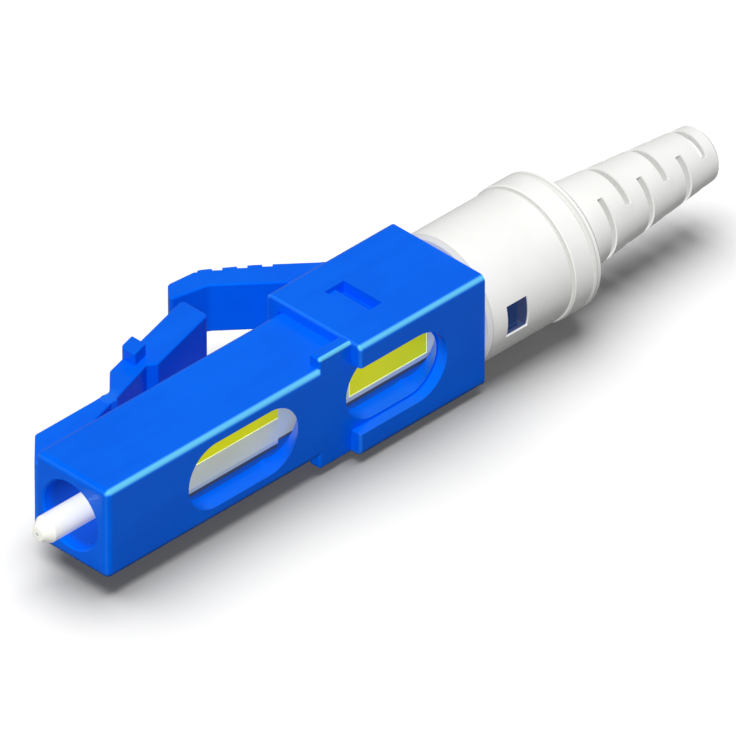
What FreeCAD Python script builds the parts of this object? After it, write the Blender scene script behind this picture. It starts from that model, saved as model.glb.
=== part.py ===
import FreeCAD, Part
import math
import os

# Field-assembly LC fibre-optic plug, modelled in millimetres.
# The origin is on the ferrule's axis, at the front face of the plug housing.
# +X runs back along that axis to the boot, +Y points to the latch, +Z to one side.

V = FreeCAD.Vector
X_AXIS = V(1, 0, 0)
Y_AXIS = V(0, 1, 0)
Z_AXIS = V(0, 0, 1)
NEAR = 1e-6                    # lengths closer than this are the same
OVER = 1.0                     # how far a cutter runs past the faces that it cuts
SINK = 0.50                    # how far a foot reaches into the wall that carries it

# ---- Plug housing --------------------------------------------------------------------
PLUG_WIDTH = 4.50              # across the plug, along Z
PLUG_BOTTOM = 2.25             # axis to the bottom face
PLUG_TOP = 2.10                # axis to the face that carries the latch
PLUG_SIDE_WALL = 0.60          # side walls of the splice chamber
PLUG_ROOF = 0.65               # chamber wall under the latch
PLUG_FLOOR = 1.00              # chamber wall that the windows are cut through
PLUG_EDGE = 0.32               # rounding of the outer edges
NOSE_LENGTH = 14.35            # front face to the rear housing's front edge
SOCKET_RADIUS = 1.60           # front socket that takes an adapter's sleeve
SOCKET_DEPTH = 3.00
SOCKET_MOUTH = 0.08            # lead-in chamfer of that socket
STOP_WALL = 0.60               # web that the ferrule flange is sprung against
TAIL_LEAD = 0.25               # chamfer round the tail's rear end

WING_LENGTH = 1.85             # stop wings at the nose's rear end
WING_HEIGHT = 0.65             # up from the bottom face
WING_EDGE = 0.12

# ---- Windows in the bottom face ------------------------------------------------------
WINDOW_WIDTH = 3.26            # across Z, with full-round ends
FRONT_WINDOW_START = 4.76
FRONT_WINDOW_LENGTH = 6.44
REAR_WINDOW_LEAD = 0.30        # starts this far ahead of the rear housing
REAR_WINDOW_REAR_MARGIN = 2.32 # its end to the rear housing's back face
SHELL_WINDOW_MARGIN = 0.08     # the rear housing's slot is this much larger

# ---- Rear housing --------------------------------------------------------------------
SHELL_LENGTH = 7.39
SHELL_SIDE_WALL = 0.56
SHELL_TOP_WALL = 0.70
SHELL_FLOOR = 0.56
SHELL_CLEARANCE = 0.02         # fit over the plug housing's tail
SHELL_END_WALL = 0.60
SHELL_EDGE = 0.30
SHELL_RIM = 0.12               # rounding of the front rim
TAIL_END_GAP = 0.10            # plug housing's tail to the end wall

SNAP_SETBACK = 1.80            # rear housing's front edge to its snap windows
SNAP_LENGTH = 1.15
SNAP_HEIGHT = 2.27             # along Y
SNAP_CLEARANCE = 0.06          # tab to window edge, on every side
SNAP_RECESS = 0.15             # tab top below the rear housing's side face

# ---- Tail tube of the rear housing, inside the boot ----------------------------------
TUBE_RADIUS = 2.35
TUBE_BARB_GAP = 0.23           # tube end to the strain relief's barb
SPRING_POCKET_RADIUS = 1.30
SPRING_POCKET_DEPTH = 2.26     # behind the rear housing's back face
SPRING_SEAT_WALL = 0.50
TUBE_WALL = 0.57               # round the collet

# ---- Boot sleeve ---------------------------------------------------------------------
SLEEVE_GAP = 0.05              # rear housing's back face to the sleeve
SLEEVE_WALL = 0.71
SLEEVE_LENGTH = 6.21
SLEEVE_TUBE_CLEARANCE = 0.06   # round the tail tube
SLEEVE_END_WALL = 0.90
SLEEVE_RIM = 0.15
COLLAR_LENGTH = 1.20
COLLAR_RISE = 0.10
COLLAR_GROOVE = 0.12           # width and depth of the line in front of it
BOOT_SNAP_SETBACK = 1.05       # sleeve front to its snap windows
BOOT_SNAP_LENGTH = 1.25
BOOT_SNAP_WIDTH = 1.55
BOOT_SNAP_RECESS = 0.35
BOOT_SNAP_CREST = 0.75         # share of each tab ahead of its ramp

# ---- Strain relief -------------------------------------------------------------------
FLANGE_THICKNESS = 0.50
FLANGE_GAP = 0.02              # to the sleeve's end face
CONE_LENGTH = 9.00
CONE_FRONT_WALL = 1.10
CONE_END_WALL = 0.28
CONE_TIP_ROUND = 0.12
CORD_BORE_RADIUS = 1.05
SPIGOT_WALL = 0.65
SPIGOT_CLEARANCE = 0.04        # in the sleeve's end hole
BARB_LENGTH = 0.45
BARB_RISE = 0.22
BARB_LAND = 0.10               # flat crest of the barb
FLANGE_RIM = 0.20              # chamfer round the flange's rear rim
SLOT_START = 1.90              # cone front to the first slot's middle
SLOT_PITCH = 1.25
SLOT_END_MARGIN = 0.70         # unslotted end of the cone
SLOT_WIDTH = 0.36
SLOT_ARC = 115.0               # degrees, on two opposite sides

# ---- Latch ---------------------------------------------------------------------------
LATCH_WIDTH = 3.40
LATCH_NOSE = 1.40              # rise of the 45 degree nose
NOSE_CREST_RADIUS = 0.25
BEAM_ROOT = 2.60               # front face to where the beam leaves the plug
BEAM_ROOT_RADIUS = 0.30
LATCH_HINGE_X = 5.35           # middle of the thin neck
NECK_THICKNESS = 0.64
NECK_CLEARANCE = 0.02
NECK_FRONT_GAP = 0.08          # beam end ahead of the hinge line
NECK_REAR_GAP = 0.04           # arm's shoulder behind it
RAMP_SETBACK = 0.42            # hinge line to the foot of the 45 degree ramp
RAMP_RISE = 1.07
RAMP_FOOT_RADIUS = 0.50
RAMP_HEAD_RADIUS = 0.35
ARM_TIP_GAP = 0.11             # arm's rear end ahead of the trigger's lower tip
ARM_TIP_DROP = 0.88            # and below it
ARM_DEPTH = 1.56               # arm thickness behind the heel, along Y
ARM_END_RADIUS = 0.20
HEEL_SETBACK = 3.30            # hinge line to the heel on the inner face
HEEL_STEP = 0.44
HEEL_SLOPE = 0.60              # rise of that step over its length
HEEL_RADIUS = 0.10
LUG_SETBACK = 2.45
LUG_LENGTH = 0.90
LUG_SPAN = 4.60                # tip to tip, along Z
LUG_DEPTH = 0.78
LUG_RISE = 0.06                # above the arm's outer face
LUG_LEAD_RADIUS = 0.25         # outer front corner
LUG_CHIN_RADIUS = 0.10         # inner front corner
LUG_LOCK_RADIUS = 0.06         # both rear corners
LATCH_EDGE = 0.08              # rounding along both sides of the latch

# ---- Trigger -------------------------------------------------------------------------
TRIGGER_WIDTH = 2.40
TRIGGER_HINGE_SETBACK = 4.73   # rear housing's front edge to the hinge line
TRIGGER_HINGE_RISE = 0.80      # hinge line above the rear housing's top
TRIGGER_SLOPE = 41.0           # degrees, lever against the top face
TRIGGER_OUTER = 0.74           # outer face to the hinge line, square to the lever
TRIGGER_INNER = 0.67           # inner face to the hinge line
KNUCKLE_RADIUS = 0.58
KNUCKLE_CLEARANCE = 0.02
PEDESTAL_GAP = 0.20            # pedestal end short of the hinge line
LEVER_GAP = 0.05               # lever's shoulder past the hinge line
LEVER_BEND = 3.33              # hinge line to the outer bend, along the lever
LEVER_CROWN = 5.61             # to the crown
LEVER_TIP = 7.00               # to the tip
LEVER_CROWN_OUTER = 0.54       # outer face to the hinge line, at the crown
LEVER_TIP_OUTER = -0.46        # tip's two corners, the same way
LEVER_TIP_INNER = -1.61
LEVER_THROAT = 5.26            # to where the inner face turns down to the tip
LEVER_BEND_RADIUS = 1.00
LEVER_CROWN_RADIUS = 0.60
LEVER_THROAT_RADIUS = 0.60
LEVER_BROW_RADIUS = 0.30       # tip's outer corner
LEVER_CHIN_RADIUS = 0.15       # tip's inner corner
TRIGGER_EDGE = 0.08            # rounding along both sides of the lever
GRIP_COUNT = 4                 # grip grooves across the outer face
GRIP_WIDTH = 0.45
GRIP_DEPTH = 0.20
GRIP_PITCH = 1.07
GRIP_START = 2.70              # hinge line to the first groove, along the lever
GRIP_CORNER = 0.05

# ---- Ferrule and flange --------------------------------------------------------------
FERRULE_RADIUS = 0.6245
FERRULE_LENGTH = 6.40
FERRULE_GRIP = 1.38            # length held in the flange
GLUE_GROOVE_LENGTH = 0.60      # adhesive groove just inside the flange
GLUE_GROOVE_DEPTH = 0.08
TIP_FACE_RADIUS = 0.33
TIP_CHAMFER_LENGTH = 0.50
TIP_DOME = 0.02
FIBRE_RADIUS = 0.0625
FIBRE_STUB_LENGTH = 10.20
CAPILLARY_CLEARANCE = 0.002
GLUE_GAP = 0.005               # between glued and pressed round parts
FLANGE_SEAT_GAP = 0.02         # flange to the stop web, at rest
FLANGE_WALL = 0.32             # round the ferrule
FLANGE_NOSE_SETBACK = 0.12     # behind the socket's floor
FLANGE_NOSE_CLEARANCE = 0.05
FLANGE_COLLAR_LENGTH = 0.75
FLANGE_SIDE_CLEARANCE = 0.17   # collar to the chamber's side walls
FLANGE_FLAT_CLEARANCE = 0.35   # collar's flats to the chamber's roof
FLANGE_BOSS_LENGTH = 1.05

# ---- Splice --------------------------------------------------------------------------
PAD_CLEARANCE = 0.05           # raised pads to the windowed wall
PAD_HEIGHT = 0.25
FIBRE_LID_FRONT_MARGIN = 1.51  # front window's end to the fibre lid
FIBRE_LID_REAR_MARGIN = 0.16   # the lid's rear end to that window's rear end
BUFFER_LID_FRONT_MARGIN = 1.26 # rear window's end to the buffer lid
BUFFER_LID_OVERLAP = 0.45      # the lid's rear end past that window's rear end
REAR_BLOCK_LENGTH = 0.50
LID_GAP = 0.03                 # lid to base, on every side
FIBRE_LID_GAP = 0.002          # fibre lid to the fibre in its groove
BUFFER_RADIUS = 0.45
BUFFER_HOLE_CLEARANCE = 0.15   # through the spring seat
BUFFER_RIB_HEIGHT = 0.52
BUFFER_RIB_WIDTH = 1.20        # base's rib between those skirts
BUFFER_RIB_GAP = 0.03
GUIDE_RADIUS = 0.16            # fibre guide through the blocks
FUNNEL_LENGTH = 0.80           # from the buffer's seat down to the guide
BUFFER_SEAT_DEPTH = 1.00       # of the middle block
PAD_END = 0.60                 # pads ahead of each lid seat
PAD_SHOULDER = 1.06            # axis to where the base pads start to lean back
PAD_SKIRT = 1.48               # axis to their low edge
PAD_LEAN = 0.06                # how far they lean back there
PAD_SINK = 0.10                # pads reach this far into what carries them

CLIP_THICKNESS = 0.13
CLIP_GAP = 0.01                # clip to splice
CLIP_SIDE_CLEARANCE = 0.13     # clip to the chamber's side walls
CLIP_ROOF_CLEARANCE = 0.09     # clip to the chamber's roof
CLIP_MARGIN = 0.35             # lid end to clip end
CLIP_FINGERS = 2
CLIP_SLOT = 0.30
CLIP_LIP = 0.30                # clip arm ends short of the splice's face

# ---- Spring and collet ---------------------------------------------------------------
WIRE_RADIUS = 0.15
SPRING_CLEARANCE = 0.15        # coil to its pocket
SPRING_TURNS = 6
SPRING_END_GAP = 0.01
COLLET_CLEARANCE = 0.04
COLLET_END_GAP = 0.06
COLLET_SLITS = 4
COLLET_SLIT_WIDTH = 0.25
COLLET_TAPER = 0.30
COLLET_RING = 0.50             # unslit front ring

# ---- Places that follow from the sizes -----------------------------------------------
PLUG_SIDE = PLUG_WIDTH / 2
SHELL_FRONT = NOSE_LENGTH
SHELL_BACK = SHELL_FRONT + SHELL_LENGTH
SHELL_SIDE = PLUG_SIDE + SHELL_CLEARANCE + SHELL_SIDE_WALL
SHELL_TOP = PLUG_TOP + SHELL_CLEARANCE + SHELL_TOP_WALL
SHELL_BOTTOM = PLUG_BOTTOM + SHELL_CLEARANCE + SHELL_FLOOR
TAIL_END = SHELL_BACK - SHELL_END_WALL - TAIL_END_GAP
CHAMBER_START = SOCKET_DEPTH + STOP_WALL
CHAMBER_SIDE = PLUG_SIDE - PLUG_SIDE_WALL
CHAMBER_TOP = PLUG_TOP - PLUG_ROOF
CHAMBER_BOTTOM = PLUG_BOTTOM - PLUG_FLOOR
REAR_WINDOW_START = SHELL_FRONT - REAR_WINDOW_LEAD
REAR_WINDOW_LENGTH = SHELL_BACK - REAR_WINDOW_REAR_MARGIN - REAR_WINDOW_START
BUFFER_HOLE_RADIUS = BUFFER_RADIUS + BUFFER_HOLE_CLEARANCE
COLLET_BORE_RADIUS = TUBE_RADIUS - TUBE_WALL
SPRING_SEAT = SHELL_BACK + SPRING_POCKET_DEPTH
COLLET_FRONT = SPRING_SEAT + SPRING_SEAT_WALL + COLLET_END_GAP
SLEEVE_FRONT = SHELL_BACK + SLEEVE_GAP
SLEEVE_BACK = SLEEVE_FRONT + SLEEVE_LENGTH
SLEEVE_BORE = TUBE_RADIUS + SLEEVE_TUBE_CLEARANCE
SLEEVE_RADIUS = SLEEVE_BORE + SLEEVE_WALL
COLLAR_RADIUS = SLEEVE_RADIUS + COLLAR_RISE
SPIGOT_RADIUS = CORD_BORE_RADIUS + SPIGOT_WALL
SLEEVE_HOLE = SPIGOT_RADIUS + SPIGOT_CLEARANCE
CONE_FRONT = SLEEVE_BACK + FLANGE_GAP + FLANGE_THICKNESS
CONE_END = CONE_FRONT + CONE_LENGTH
CONE_FRONT_RADIUS = CORD_BORE_RADIUS + CONE_FRONT_WALL
CONE_END_RADIUS = CORD_BORE_RADIUS + CONE_END_WALL
SLOT_COUNT = 1 + int((CONE_LENGTH - SLOT_START - SLOT_END_MARGIN) / SLOT_PITCH)
BARB_BACK = SLEEVE_BACK - SLEEVE_END_WALL - FLANGE_GAP
BARB_FRONT = BARB_BACK - BARB_LENGTH
TUBE_END = BARB_FRONT - TUBE_BARB_GAP
BEAM_TOP = PLUG_TOP + LATCH_NOSE
LATCH_HINGE_Y = BEAM_TOP - NECK_THICKNESS / 2
RAMP_FOOT = LATCH_HINGE_X + RAMP_SETBACK
RAMP_HEAD = RAMP_FOOT + RAMP_RISE
TRIGGER_HINGE_X = SHELL_FRONT + TRIGGER_HINGE_SETBACK
TRIGGER_HINGE_Y = SHELL_TOP + TRIGGER_HINGE_RISE
FLANGE_FRONT = CHAMBER_START + FLANGE_SEAT_GAP
FLANGE_NOSE_FRONT = SOCKET_DEPTH + FLANGE_NOSE_SETBACK
FLANGE_COLLAR_END = FLANGE_FRONT + FLANGE_COLLAR_LENGTH
FLANGE_COLLAR_RADIUS = CHAMBER_SIDE - FLANGE_SIDE_CLEARANCE
FLANGE_HALF_FLAT = CHAMBER_TOP - FLANGE_FLAT_CLEARANCE
FLANGE_BOSS_RADIUS = FERRULE_RADIUS + GLUE_GAP + FLANGE_WALL
NOSE_HOLE_RADIUS = FLANGE_BOSS_RADIUS + FLANGE_NOSE_CLEARANCE
FERRULE_END = FLANGE_NOSE_FRONT + FERRULE_GRIP
FERRULE_TIP = FERRULE_END - FERRULE_LENGTH
CLIP_ROOM = CLIP_THICKNESS + CLIP_GAP
SPLICE_HALF_WIDTH = CHAMBER_SIDE - CLIP_SIDE_CLEARANCE - CLIP_ROOM
SPLICE_BACK = CHAMBER_TOP - CLIP_ROOF_CLEARANCE - CLIP_ROOM
PAD_FACE = CHAMBER_BOTTOM - PAD_CLEARANCE
SPLICE_FACE = PAD_FACE - PAD_HEIGHT
FIBRE_PARTING = FIBRE_RADIUS + FIBRE_LID_GAP
BUFFER_PARTING = BUFFER_RADIUS + BUFFER_RIB_HEIGHT
SPLICE_FRONT = FLANGE_COLLAR_END + LID_GAP
FIBRE_LID_START = FRONT_WINDOW_START + FIBRE_LID_FRONT_MARGIN
FIBRE_LID_END = FRONT_WINDOW_START + FRONT_WINDOW_LENGTH - FIBRE_LID_REAR_MARGIN
BUFFER_LID_START = REAR_WINDOW_START + BUFFER_LID_FRONT_MARGIN
BUFFER_LID_END = REAR_WINDOW_START + REAR_WINDOW_LENGTH + BUFFER_LID_OVERLAP
BUFFER_SEAT = BUFFER_LID_START - BUFFER_SEAT_DEPTH
SPLICE_END = BUFFER_LID_END + REAR_BLOCK_LENGTH
SPRING_RADIUS = SPRING_POCKET_RADIUS - SPRING_CLEARANCE - WIRE_RADIUS


# ---- Shape helpers -------------------------------------------------------------------
def block(x0, x1, y0, y1, z0, z1):
    """A box between two corners."""
    return Part.makeBox(x1 - x0, y1 - y0, z1 - z0, V(x0, y0, z0))


def rod(radius, x0, x1):
    """A cylinder on the ferrule's axis."""
    return Part.makeCylinder(radius, x1 - x0, V(x0, 0, 0), X_AXIS)


def turned(outline):
    """A solid turned about the ferrule's axis from (x, radius) points."""
    points = [V(x, radius, 0) for x, radius in outline]
    face = Part.Face(Part.makePolygon(points + points[:1]))
    return face.revolve(V(0, 0, 0), X_AXIS, 360)


def rounded_wire(corners):
    """A closed wire through (x, y, corner radius) points, with tangent arcs."""
    edges = []
    joins = []
    count = len(corners)
    for index, (x, y, radius) in enumerate(corners):
        here = V(x, y, 0)
        before = V(*corners[index - 1][:2], 0)
        after = V(*corners[(index + 1) % count][:2], 0)
        back = (before - here).normalize()
        ahead = (after - here).normalize()
        if radius <= 0:
            joins.append((here, here))
            continue
        half = back.getAngle(ahead) / 2
        setback = radius / math.tan(half)
        start = here + back * setback
        end = here + ahead * setback
        centre = here + (back + ahead).normalize() * (radius / math.sin(half))
        middle = centre + (here - centre).normalize() * radius
        edges.append(Part.Arc(start, middle, end).toShape())
        joins.append((start, end))
    for index, (_, end) in enumerate(joins):
        start = joins[(index + 1) % count][0]
        edges.append(Part.LineSegment(end, start).toShape())
    return Part.Wire(Part.__sortEdges__(edges))


def plate(corners, width, edge=0.0):
    """A flat part: an outline in X and Y, centred across Z, with its two rims rounded."""
    face = Part.Face(rounded_wire(corners))
    face.translate(V(0, 0, -width / 2))
    solid = face.extrude(V(0, 0, width))
    if edge <= 0:
        return solid
    rims = [e for e in solid.Edges if abs(abs(e.CenterOfMass.z) - width / 2) < NEAR]
    return solid.makeFillet(edge, rims)


def obround_cut(x0, length, width, depth):
    """A round-ended window cutter through the bottom walls, down to depth."""
    radius = width / 2
    y0 = -SHELL_BOTTOM - OVER
    height = -depth - y0
    body = block(x0 + radius, x0 + length - radius, y0, -depth, -radius, radius)
    ends = [
        Part.makeCylinder(radius, height, V(x0 + offset, y0, 0), Y_AXIS)
        for offset in (radius, length - radius)
    ]
    return body.fuse(ends)


def window_cuts(x0, length):
    """A window through the plug housing's floor, its rear end undercut at 45 degrees."""
    radius = WINDOW_WIDTH / 2
    run = PLUG_FLOOR + SINK
    mouth = V(x0 + length - radius - SINK, -PLUG_BOTTOM - SINK, 0)
    disc = Part.Face(Part.Wire(Part.makeCircle(radius, mouth, Y_AXIS)))
    undercut = disc.extrude(V(run + SINK, run + SINK, 0))
    return [obround_cut(x0, length, WINDOW_WIDTH, CHAMBER_BOTTOM - SINK), undercut]


def edges_where(shape, test):
    """The straight edges of a shape whose two ends pass a test."""
    chosen = []
    for edge in shape.Edges:
        if len(edge.Vertexes) == 2 and edge.Curve.TypeId == "Part::GeomLine":
            first, last = (vertex.Point for vertex in edge.Vertexes)
            if test(first, last):
                chosen.append(edge)
    return chosen


def edges_at(shape, x):
    """The edges that lie in the plane square to the ferrule's axis at x."""
    return [e for e in shape.Edges if all(abs(v.X - x) < NEAR for v in e.Vertexes)]


def cross_pin(radius, width, x, y):
    """A cylinder across the part, centred on Z, on a hinge line at x and y."""
    return Part.makeCylinder(radius, width, V(x, y, -width / 2), Z_AXIS)


def along_x(first, last):
    """True where an edge runs along the ferrule's axis."""
    return abs(first.x - last.x) > NEAR and (first - last).cross(X_AXIS).Length < NEAR


def rounded_bar(x0, x1, y0, y1, half_z, edge, front_edge):
    """A square bar with rounded long edges and a rounded front rim."""
    bar = block(x0, x1, y0, y1, -half_z, half_z)
    bar = bar.makeFillet(edge, edges_where(bar, along_x))
    return bar.makeFillet(front_edge, edges_at(bar, x0))


def soften(shape, radius, test):
    """Round the chosen straight edges of a shape."""
    return shape.makeFillet(radius, edges_where(shape, test))


# ---- Plug housing --------------------------------------------------------------------
def plug_housing():
    """The nose, its latch beam and the tail that the rear housing slides over."""
    body = rounded_bar(0, TAIL_END, -PLUG_BOTTOM, PLUG_TOP, PLUG_SIDE, PLUG_EDGE, PLUG_EDGE)
    body = body.makeChamfer(TAIL_LEAD, edges_at(body, TAIL_END))
    body = body.fuse([wings(), latch_beam()] + snap_tabs())
    cutters = [
        rod(SOCKET_RADIUS, -OVER, SOCKET_DEPTH),
        turned([
            (-OVER, 0),
            (-OVER, SOCKET_RADIUS + SOCKET_MOUTH + OVER),
            (SOCKET_MOUTH, SOCKET_RADIUS),
            (SOCKET_MOUTH, 0),
        ]),
        rod(NOSE_HOLE_RADIUS, SOCKET_DEPTH - OVER, CHAMBER_START + OVER),
        block(
            CHAMBER_START, TAIL_END + OVER, -CHAMBER_BOTTOM, CHAMBER_TOP, -CHAMBER_SIDE, CHAMBER_SIDE
        ),
    ]
    cutters += window_cuts(FRONT_WINDOW_START, FRONT_WINDOW_LENGTH)
    cutters += window_cuts(REAR_WINDOW_START, REAR_WINDOW_LENGTH)
    return body.cut(cutters).removeSplitter()


def wings():
    """The two stop wings, one bar across the bottom of the nose."""
    bar = block(
        SHELL_FRONT - WING_LENGTH, SHELL_FRONT,
        -PLUG_BOTTOM, WING_HEIGHT - PLUG_BOTTOM, -SHELL_SIDE, SHELL_SIDE,
    )

    def outer(first, last):
        """True on the bar's two ends, apart from their rear edges."""
        on_end = min(abs(first.z), abs(last.z)) > SHELL_SIDE - NEAR
        return on_end and min(first.x, last.x) < SHELL_FRONT - NEAR

    return soften(bar, WING_EDGE, outer)


def latch_beam():
    """The fixed front of the latch, up to the seat of its neck."""
    end = LATCH_HINGE_X - NECK_FRONT_GAP
    underside = BEAM_TOP - NECK_THICKNESS
    beam = plate([
        (0, PLUG_TOP - SINK, 0),
        (0, PLUG_TOP, 0),
        (LATCH_NOSE, BEAM_TOP, NOSE_CREST_RADIUS),
        (end, BEAM_TOP, 0),
        (end, underside, 0),
        (BEAM_ROOT, PLUG_TOP, BEAM_ROOT_RADIUS),
        (BEAM_ROOT, PLUG_TOP - SINK, 0),
    ], LATCH_WIDTH, LATCH_EDGE)
    seat_radius = NECK_THICKNESS / 2 + NECK_CLEARANCE
    return beam.cut(cross_pin(seat_radius, LATCH_WIDTH + OVER, LATCH_HINGE_X, LATCH_HINGE_Y))


def snap_tabs():
    """The tabs on the tail that catch in the rear housing's side windows."""
    start = SHELL_FRONT + SNAP_SETBACK + SNAP_CLEARANCE
    end = SHELL_FRONT + SNAP_SETBACK + SNAP_LENGTH - SNAP_CLEARANCE
    crest = SHELL_SIDE - SNAP_RECESS
    half_height = SNAP_HEIGHT / 2 - SNAP_CLEARANCE
    tabs = []
    for side in (-1, 1):
        middle = (start + end) / 2
        points = [(start, 0), (start, crest), (middle, crest), (end, PLUG_SIDE), (end, 0)]
        outline = [V(x, -half_height, side * z) for x, z in points]
        face = Part.Face(Part.makePolygon(outline + outline[:1]))
        tabs.append(face.extrude(V(0, 2 * half_height, 0)))
    return tabs


# ---- Latch arm -----------------------------------------------------------------------
def arm_end():
    """The outer corner of the arm's rear end, just under the trigger's lower tip."""
    tip_x, tip_y = on_lever(LEVER_TIP, LEVER_TIP_INNER)
    return tip_x - ARM_TIP_GAP, tip_y - ARM_TIP_DROP


def arm_outer(x):
    """Height of the arm's outer face behind the ramp."""
    end_x, end_y = arm_end()
    head_y = BEAM_TOP + RAMP_RISE
    return head_y + (x - RAMP_HEAD) * (end_y - head_y) / (end_x - RAMP_HEAD)


def latch_arm():
    """The moving arm, with the round of its neck and both locking lugs."""
    shoulder = LATCH_HINGE_X + NECK_REAR_GAP
    heel = LATCH_HINGE_X + HEEL_SETBACK
    heel_y = arm_outer(heel) - ARM_DEPTH
    underside = BEAM_TOP - NECK_THICKNESS
    end_x, end_y = arm_end()
    arm = plate([
        (shoulder, BEAM_TOP, 0),
        (RAMP_FOOT, BEAM_TOP, RAMP_FOOT_RADIUS),
        (RAMP_HEAD, BEAM_TOP + RAMP_RISE, RAMP_HEAD_RADIUS),
        (end_x, end_y, ARM_END_RADIUS),
        (end_x, end_y - ARM_DEPTH, ARM_END_RADIUS),
        (heel, heel_y, HEEL_RADIUS),
        (heel - HEEL_STEP, heel_y + HEEL_STEP * HEEL_SLOPE, HEEL_RADIUS),
        (shoulder, underside, 0),
    ], LATCH_WIDTH, LATCH_EDGE)
    neck = cross_pin(NECK_THICKNESS / 2, LATCH_WIDTH, LATCH_HINGE_X, LATCH_HINGE_Y)
    return arm.fuse([neck, lugs()]).removeSplitter()


def lugs():
    """One bar through the arm whose ends are the two locking lugs."""
    front = LATCH_HINGE_X + LUG_SETBACK
    back = front + LUG_LENGTH
    return plate([
        (front, arm_outer(front) - LUG_DEPTH, LUG_CHIN_RADIUS),
        (front, arm_outer(front) + LUG_RISE, LUG_LEAD_RADIUS),
        (back, arm_outer(back) + LUG_RISE, LUG_LOCK_RADIUS),
        (back, arm_outer(back) - LUG_DEPTH, LUG_LOCK_RADIUS),
    ], LUG_SPAN, LATCH_EDGE / 2)


# ---- Rear housing --------------------------------------------------------------------
def rear_housing():
    """The square shell, its tail tube and the trigger's pedestal."""
    shell = rounded_bar(
        SHELL_FRONT, SHELL_BACK, -SHELL_BOTTOM, SHELL_TOP, SHELL_SIDE, SHELL_EDGE, SHELL_RIM
    )
    tube = rod(TUBE_RADIUS, SHELL_BACK - SHELL_END_WALL, TUBE_END)
    body = shell.fuse([tube, trigger_pedestal()] + boot_tabs())
    inner_side = PLUG_SIDE + SHELL_CLEARANCE
    window_width = WINDOW_WIDTH + 2 * SHELL_WINDOW_MARGIN
    snap_start = SHELL_FRONT + SNAP_SETBACK
    slot_start = SHELL_FRONT - window_width
    slot_end = REAR_WINDOW_START + REAR_WINDOW_LENGTH + SHELL_WINDOW_MARGIN
    cutters = [
        block(
            SHELL_FRONT - OVER, SHELL_BACK - SHELL_END_WALL,
            -PLUG_BOTTOM - SHELL_CLEARANCE, PLUG_TOP + SHELL_CLEARANCE, -inner_side, inner_side,
        ),
        obround_cut(slot_start, slot_end - slot_start, window_width, PLUG_BOTTOM),
        block(
            snap_start, snap_start + SNAP_LENGTH, -SNAP_HEIGHT / 2, SNAP_HEIGHT / 2,
            -SHELL_SIDE - OVER, SHELL_SIDE + OVER,
        ),
        rod(SPRING_POCKET_RADIUS, SHELL_BACK - SHELL_END_WALL - OVER, SPRING_SEAT),
        rod(BUFFER_HOLE_RADIUS, SPRING_SEAT - OVER, TUBE_END + OVER),
        rod(COLLET_BORE_RADIUS, SPRING_SEAT + SPRING_SEAT_WALL, TUBE_END + OVER),
    ]
    return body.cut(cutters).removeSplitter()


def boot_tabs():
    """The tabs on the tail tube that catch in the boot sleeve's windows."""
    start = SLEEVE_FRONT + BOOT_SNAP_SETBACK + SNAP_CLEARANCE
    end = SLEEVE_FRONT + BOOT_SNAP_SETBACK + BOOT_SNAP_LENGTH - SNAP_CLEARANCE
    crest = SLEEVE_RADIUS - BOOT_SNAP_RECESS
    half_width = BOOT_SNAP_WIDTH / 2 - SNAP_CLEARANCE
    root = (TUBE_RADIUS + COLLET_BORE_RADIUS) / 2
    tabs = []
    for side in (-1, 1):
        middle = start + BOOT_SNAP_CREST * (end - start)
        points = [(start, root), (start, crest), (middle, crest), (end, TUBE_RADIUS), (end, root)]
        outline = [V(x, side * y, -half_width) for x, y in points]
        face = Part.Face(Part.makePolygon(outline + outline[:1]))
        tabs.append(face.extrude(V(0, 0, 2 * half_width)))
    return tabs


# ---- Trigger -------------------------------------------------------------------------
def on_lever(along, outward):
    """A point given along the lever from its hinge line, and outward from it."""
    angle = math.radians(TRIGGER_SLOPE)
    x = TRIGGER_HINGE_X - along * math.cos(angle) + outward * math.sin(angle)
    y = TRIGGER_HINGE_Y + along * math.sin(angle) + outward * math.cos(angle)
    return x, y


def lever_foot(outward):
    """Where a line down the lever meets the rear housing's top face."""
    x, y = on_lever(0, outward)
    return x + (y - SHELL_TOP) / math.tan(math.radians(TRIGGER_SLOPE))


def trigger_pedestal():
    """The fixed foot of the lever, with the seat of its knuckle."""
    sink = SHELL_TOP - SHELL_TOP_WALL / 2
    foot = plate([
        (lever_foot(-TRIGGER_INNER), sink, 0),
        (lever_foot(-TRIGGER_INNER), SHELL_TOP, 0),
        (*on_lever(-PEDESTAL_GAP, -TRIGGER_INNER), 0),
        (*on_lever(-PEDESTAL_GAP, TRIGGER_OUTER), 0),
        (lever_foot(TRIGGER_OUTER), SHELL_TOP, 0),
        (lever_foot(TRIGGER_OUTER), sink, 0),
    ], TRIGGER_WIDTH, TRIGGER_EDGE)
    seat_radius = KNUCKLE_RADIUS + KNUCKLE_CLEARANCE
    return foot.cut(cross_pin(seat_radius, TRIGGER_WIDTH + OVER, TRIGGER_HINGE_X, TRIGGER_HINGE_Y))


def lever_outer(along):
    """Distance of the lever's outer face from the hinge line."""
    bend = max(0.0, (along - LEVER_BEND) / (LEVER_CROWN - LEVER_BEND))
    return TRIGGER_OUTER + bend * (LEVER_CROWN_OUTER - TRIGGER_OUTER)


def grip_groove(along):
    """A cutter for one groove across the lever's outer face."""
    low = lever_outer(along) - GRIP_DEPTH
    near_side = along - GRIP_WIDTH / 2
    far_side = along + GRIP_WIDTH / 2
    return plate([
        (*on_lever(near_side, low), GRIP_CORNER),
        (*on_lever(far_side, low), GRIP_CORNER),
        (*on_lever(far_side, low + OVER), 0),
        (*on_lever(near_side, low + OVER), 0),
    ], TRIGGER_WIDTH + OVER)


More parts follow.
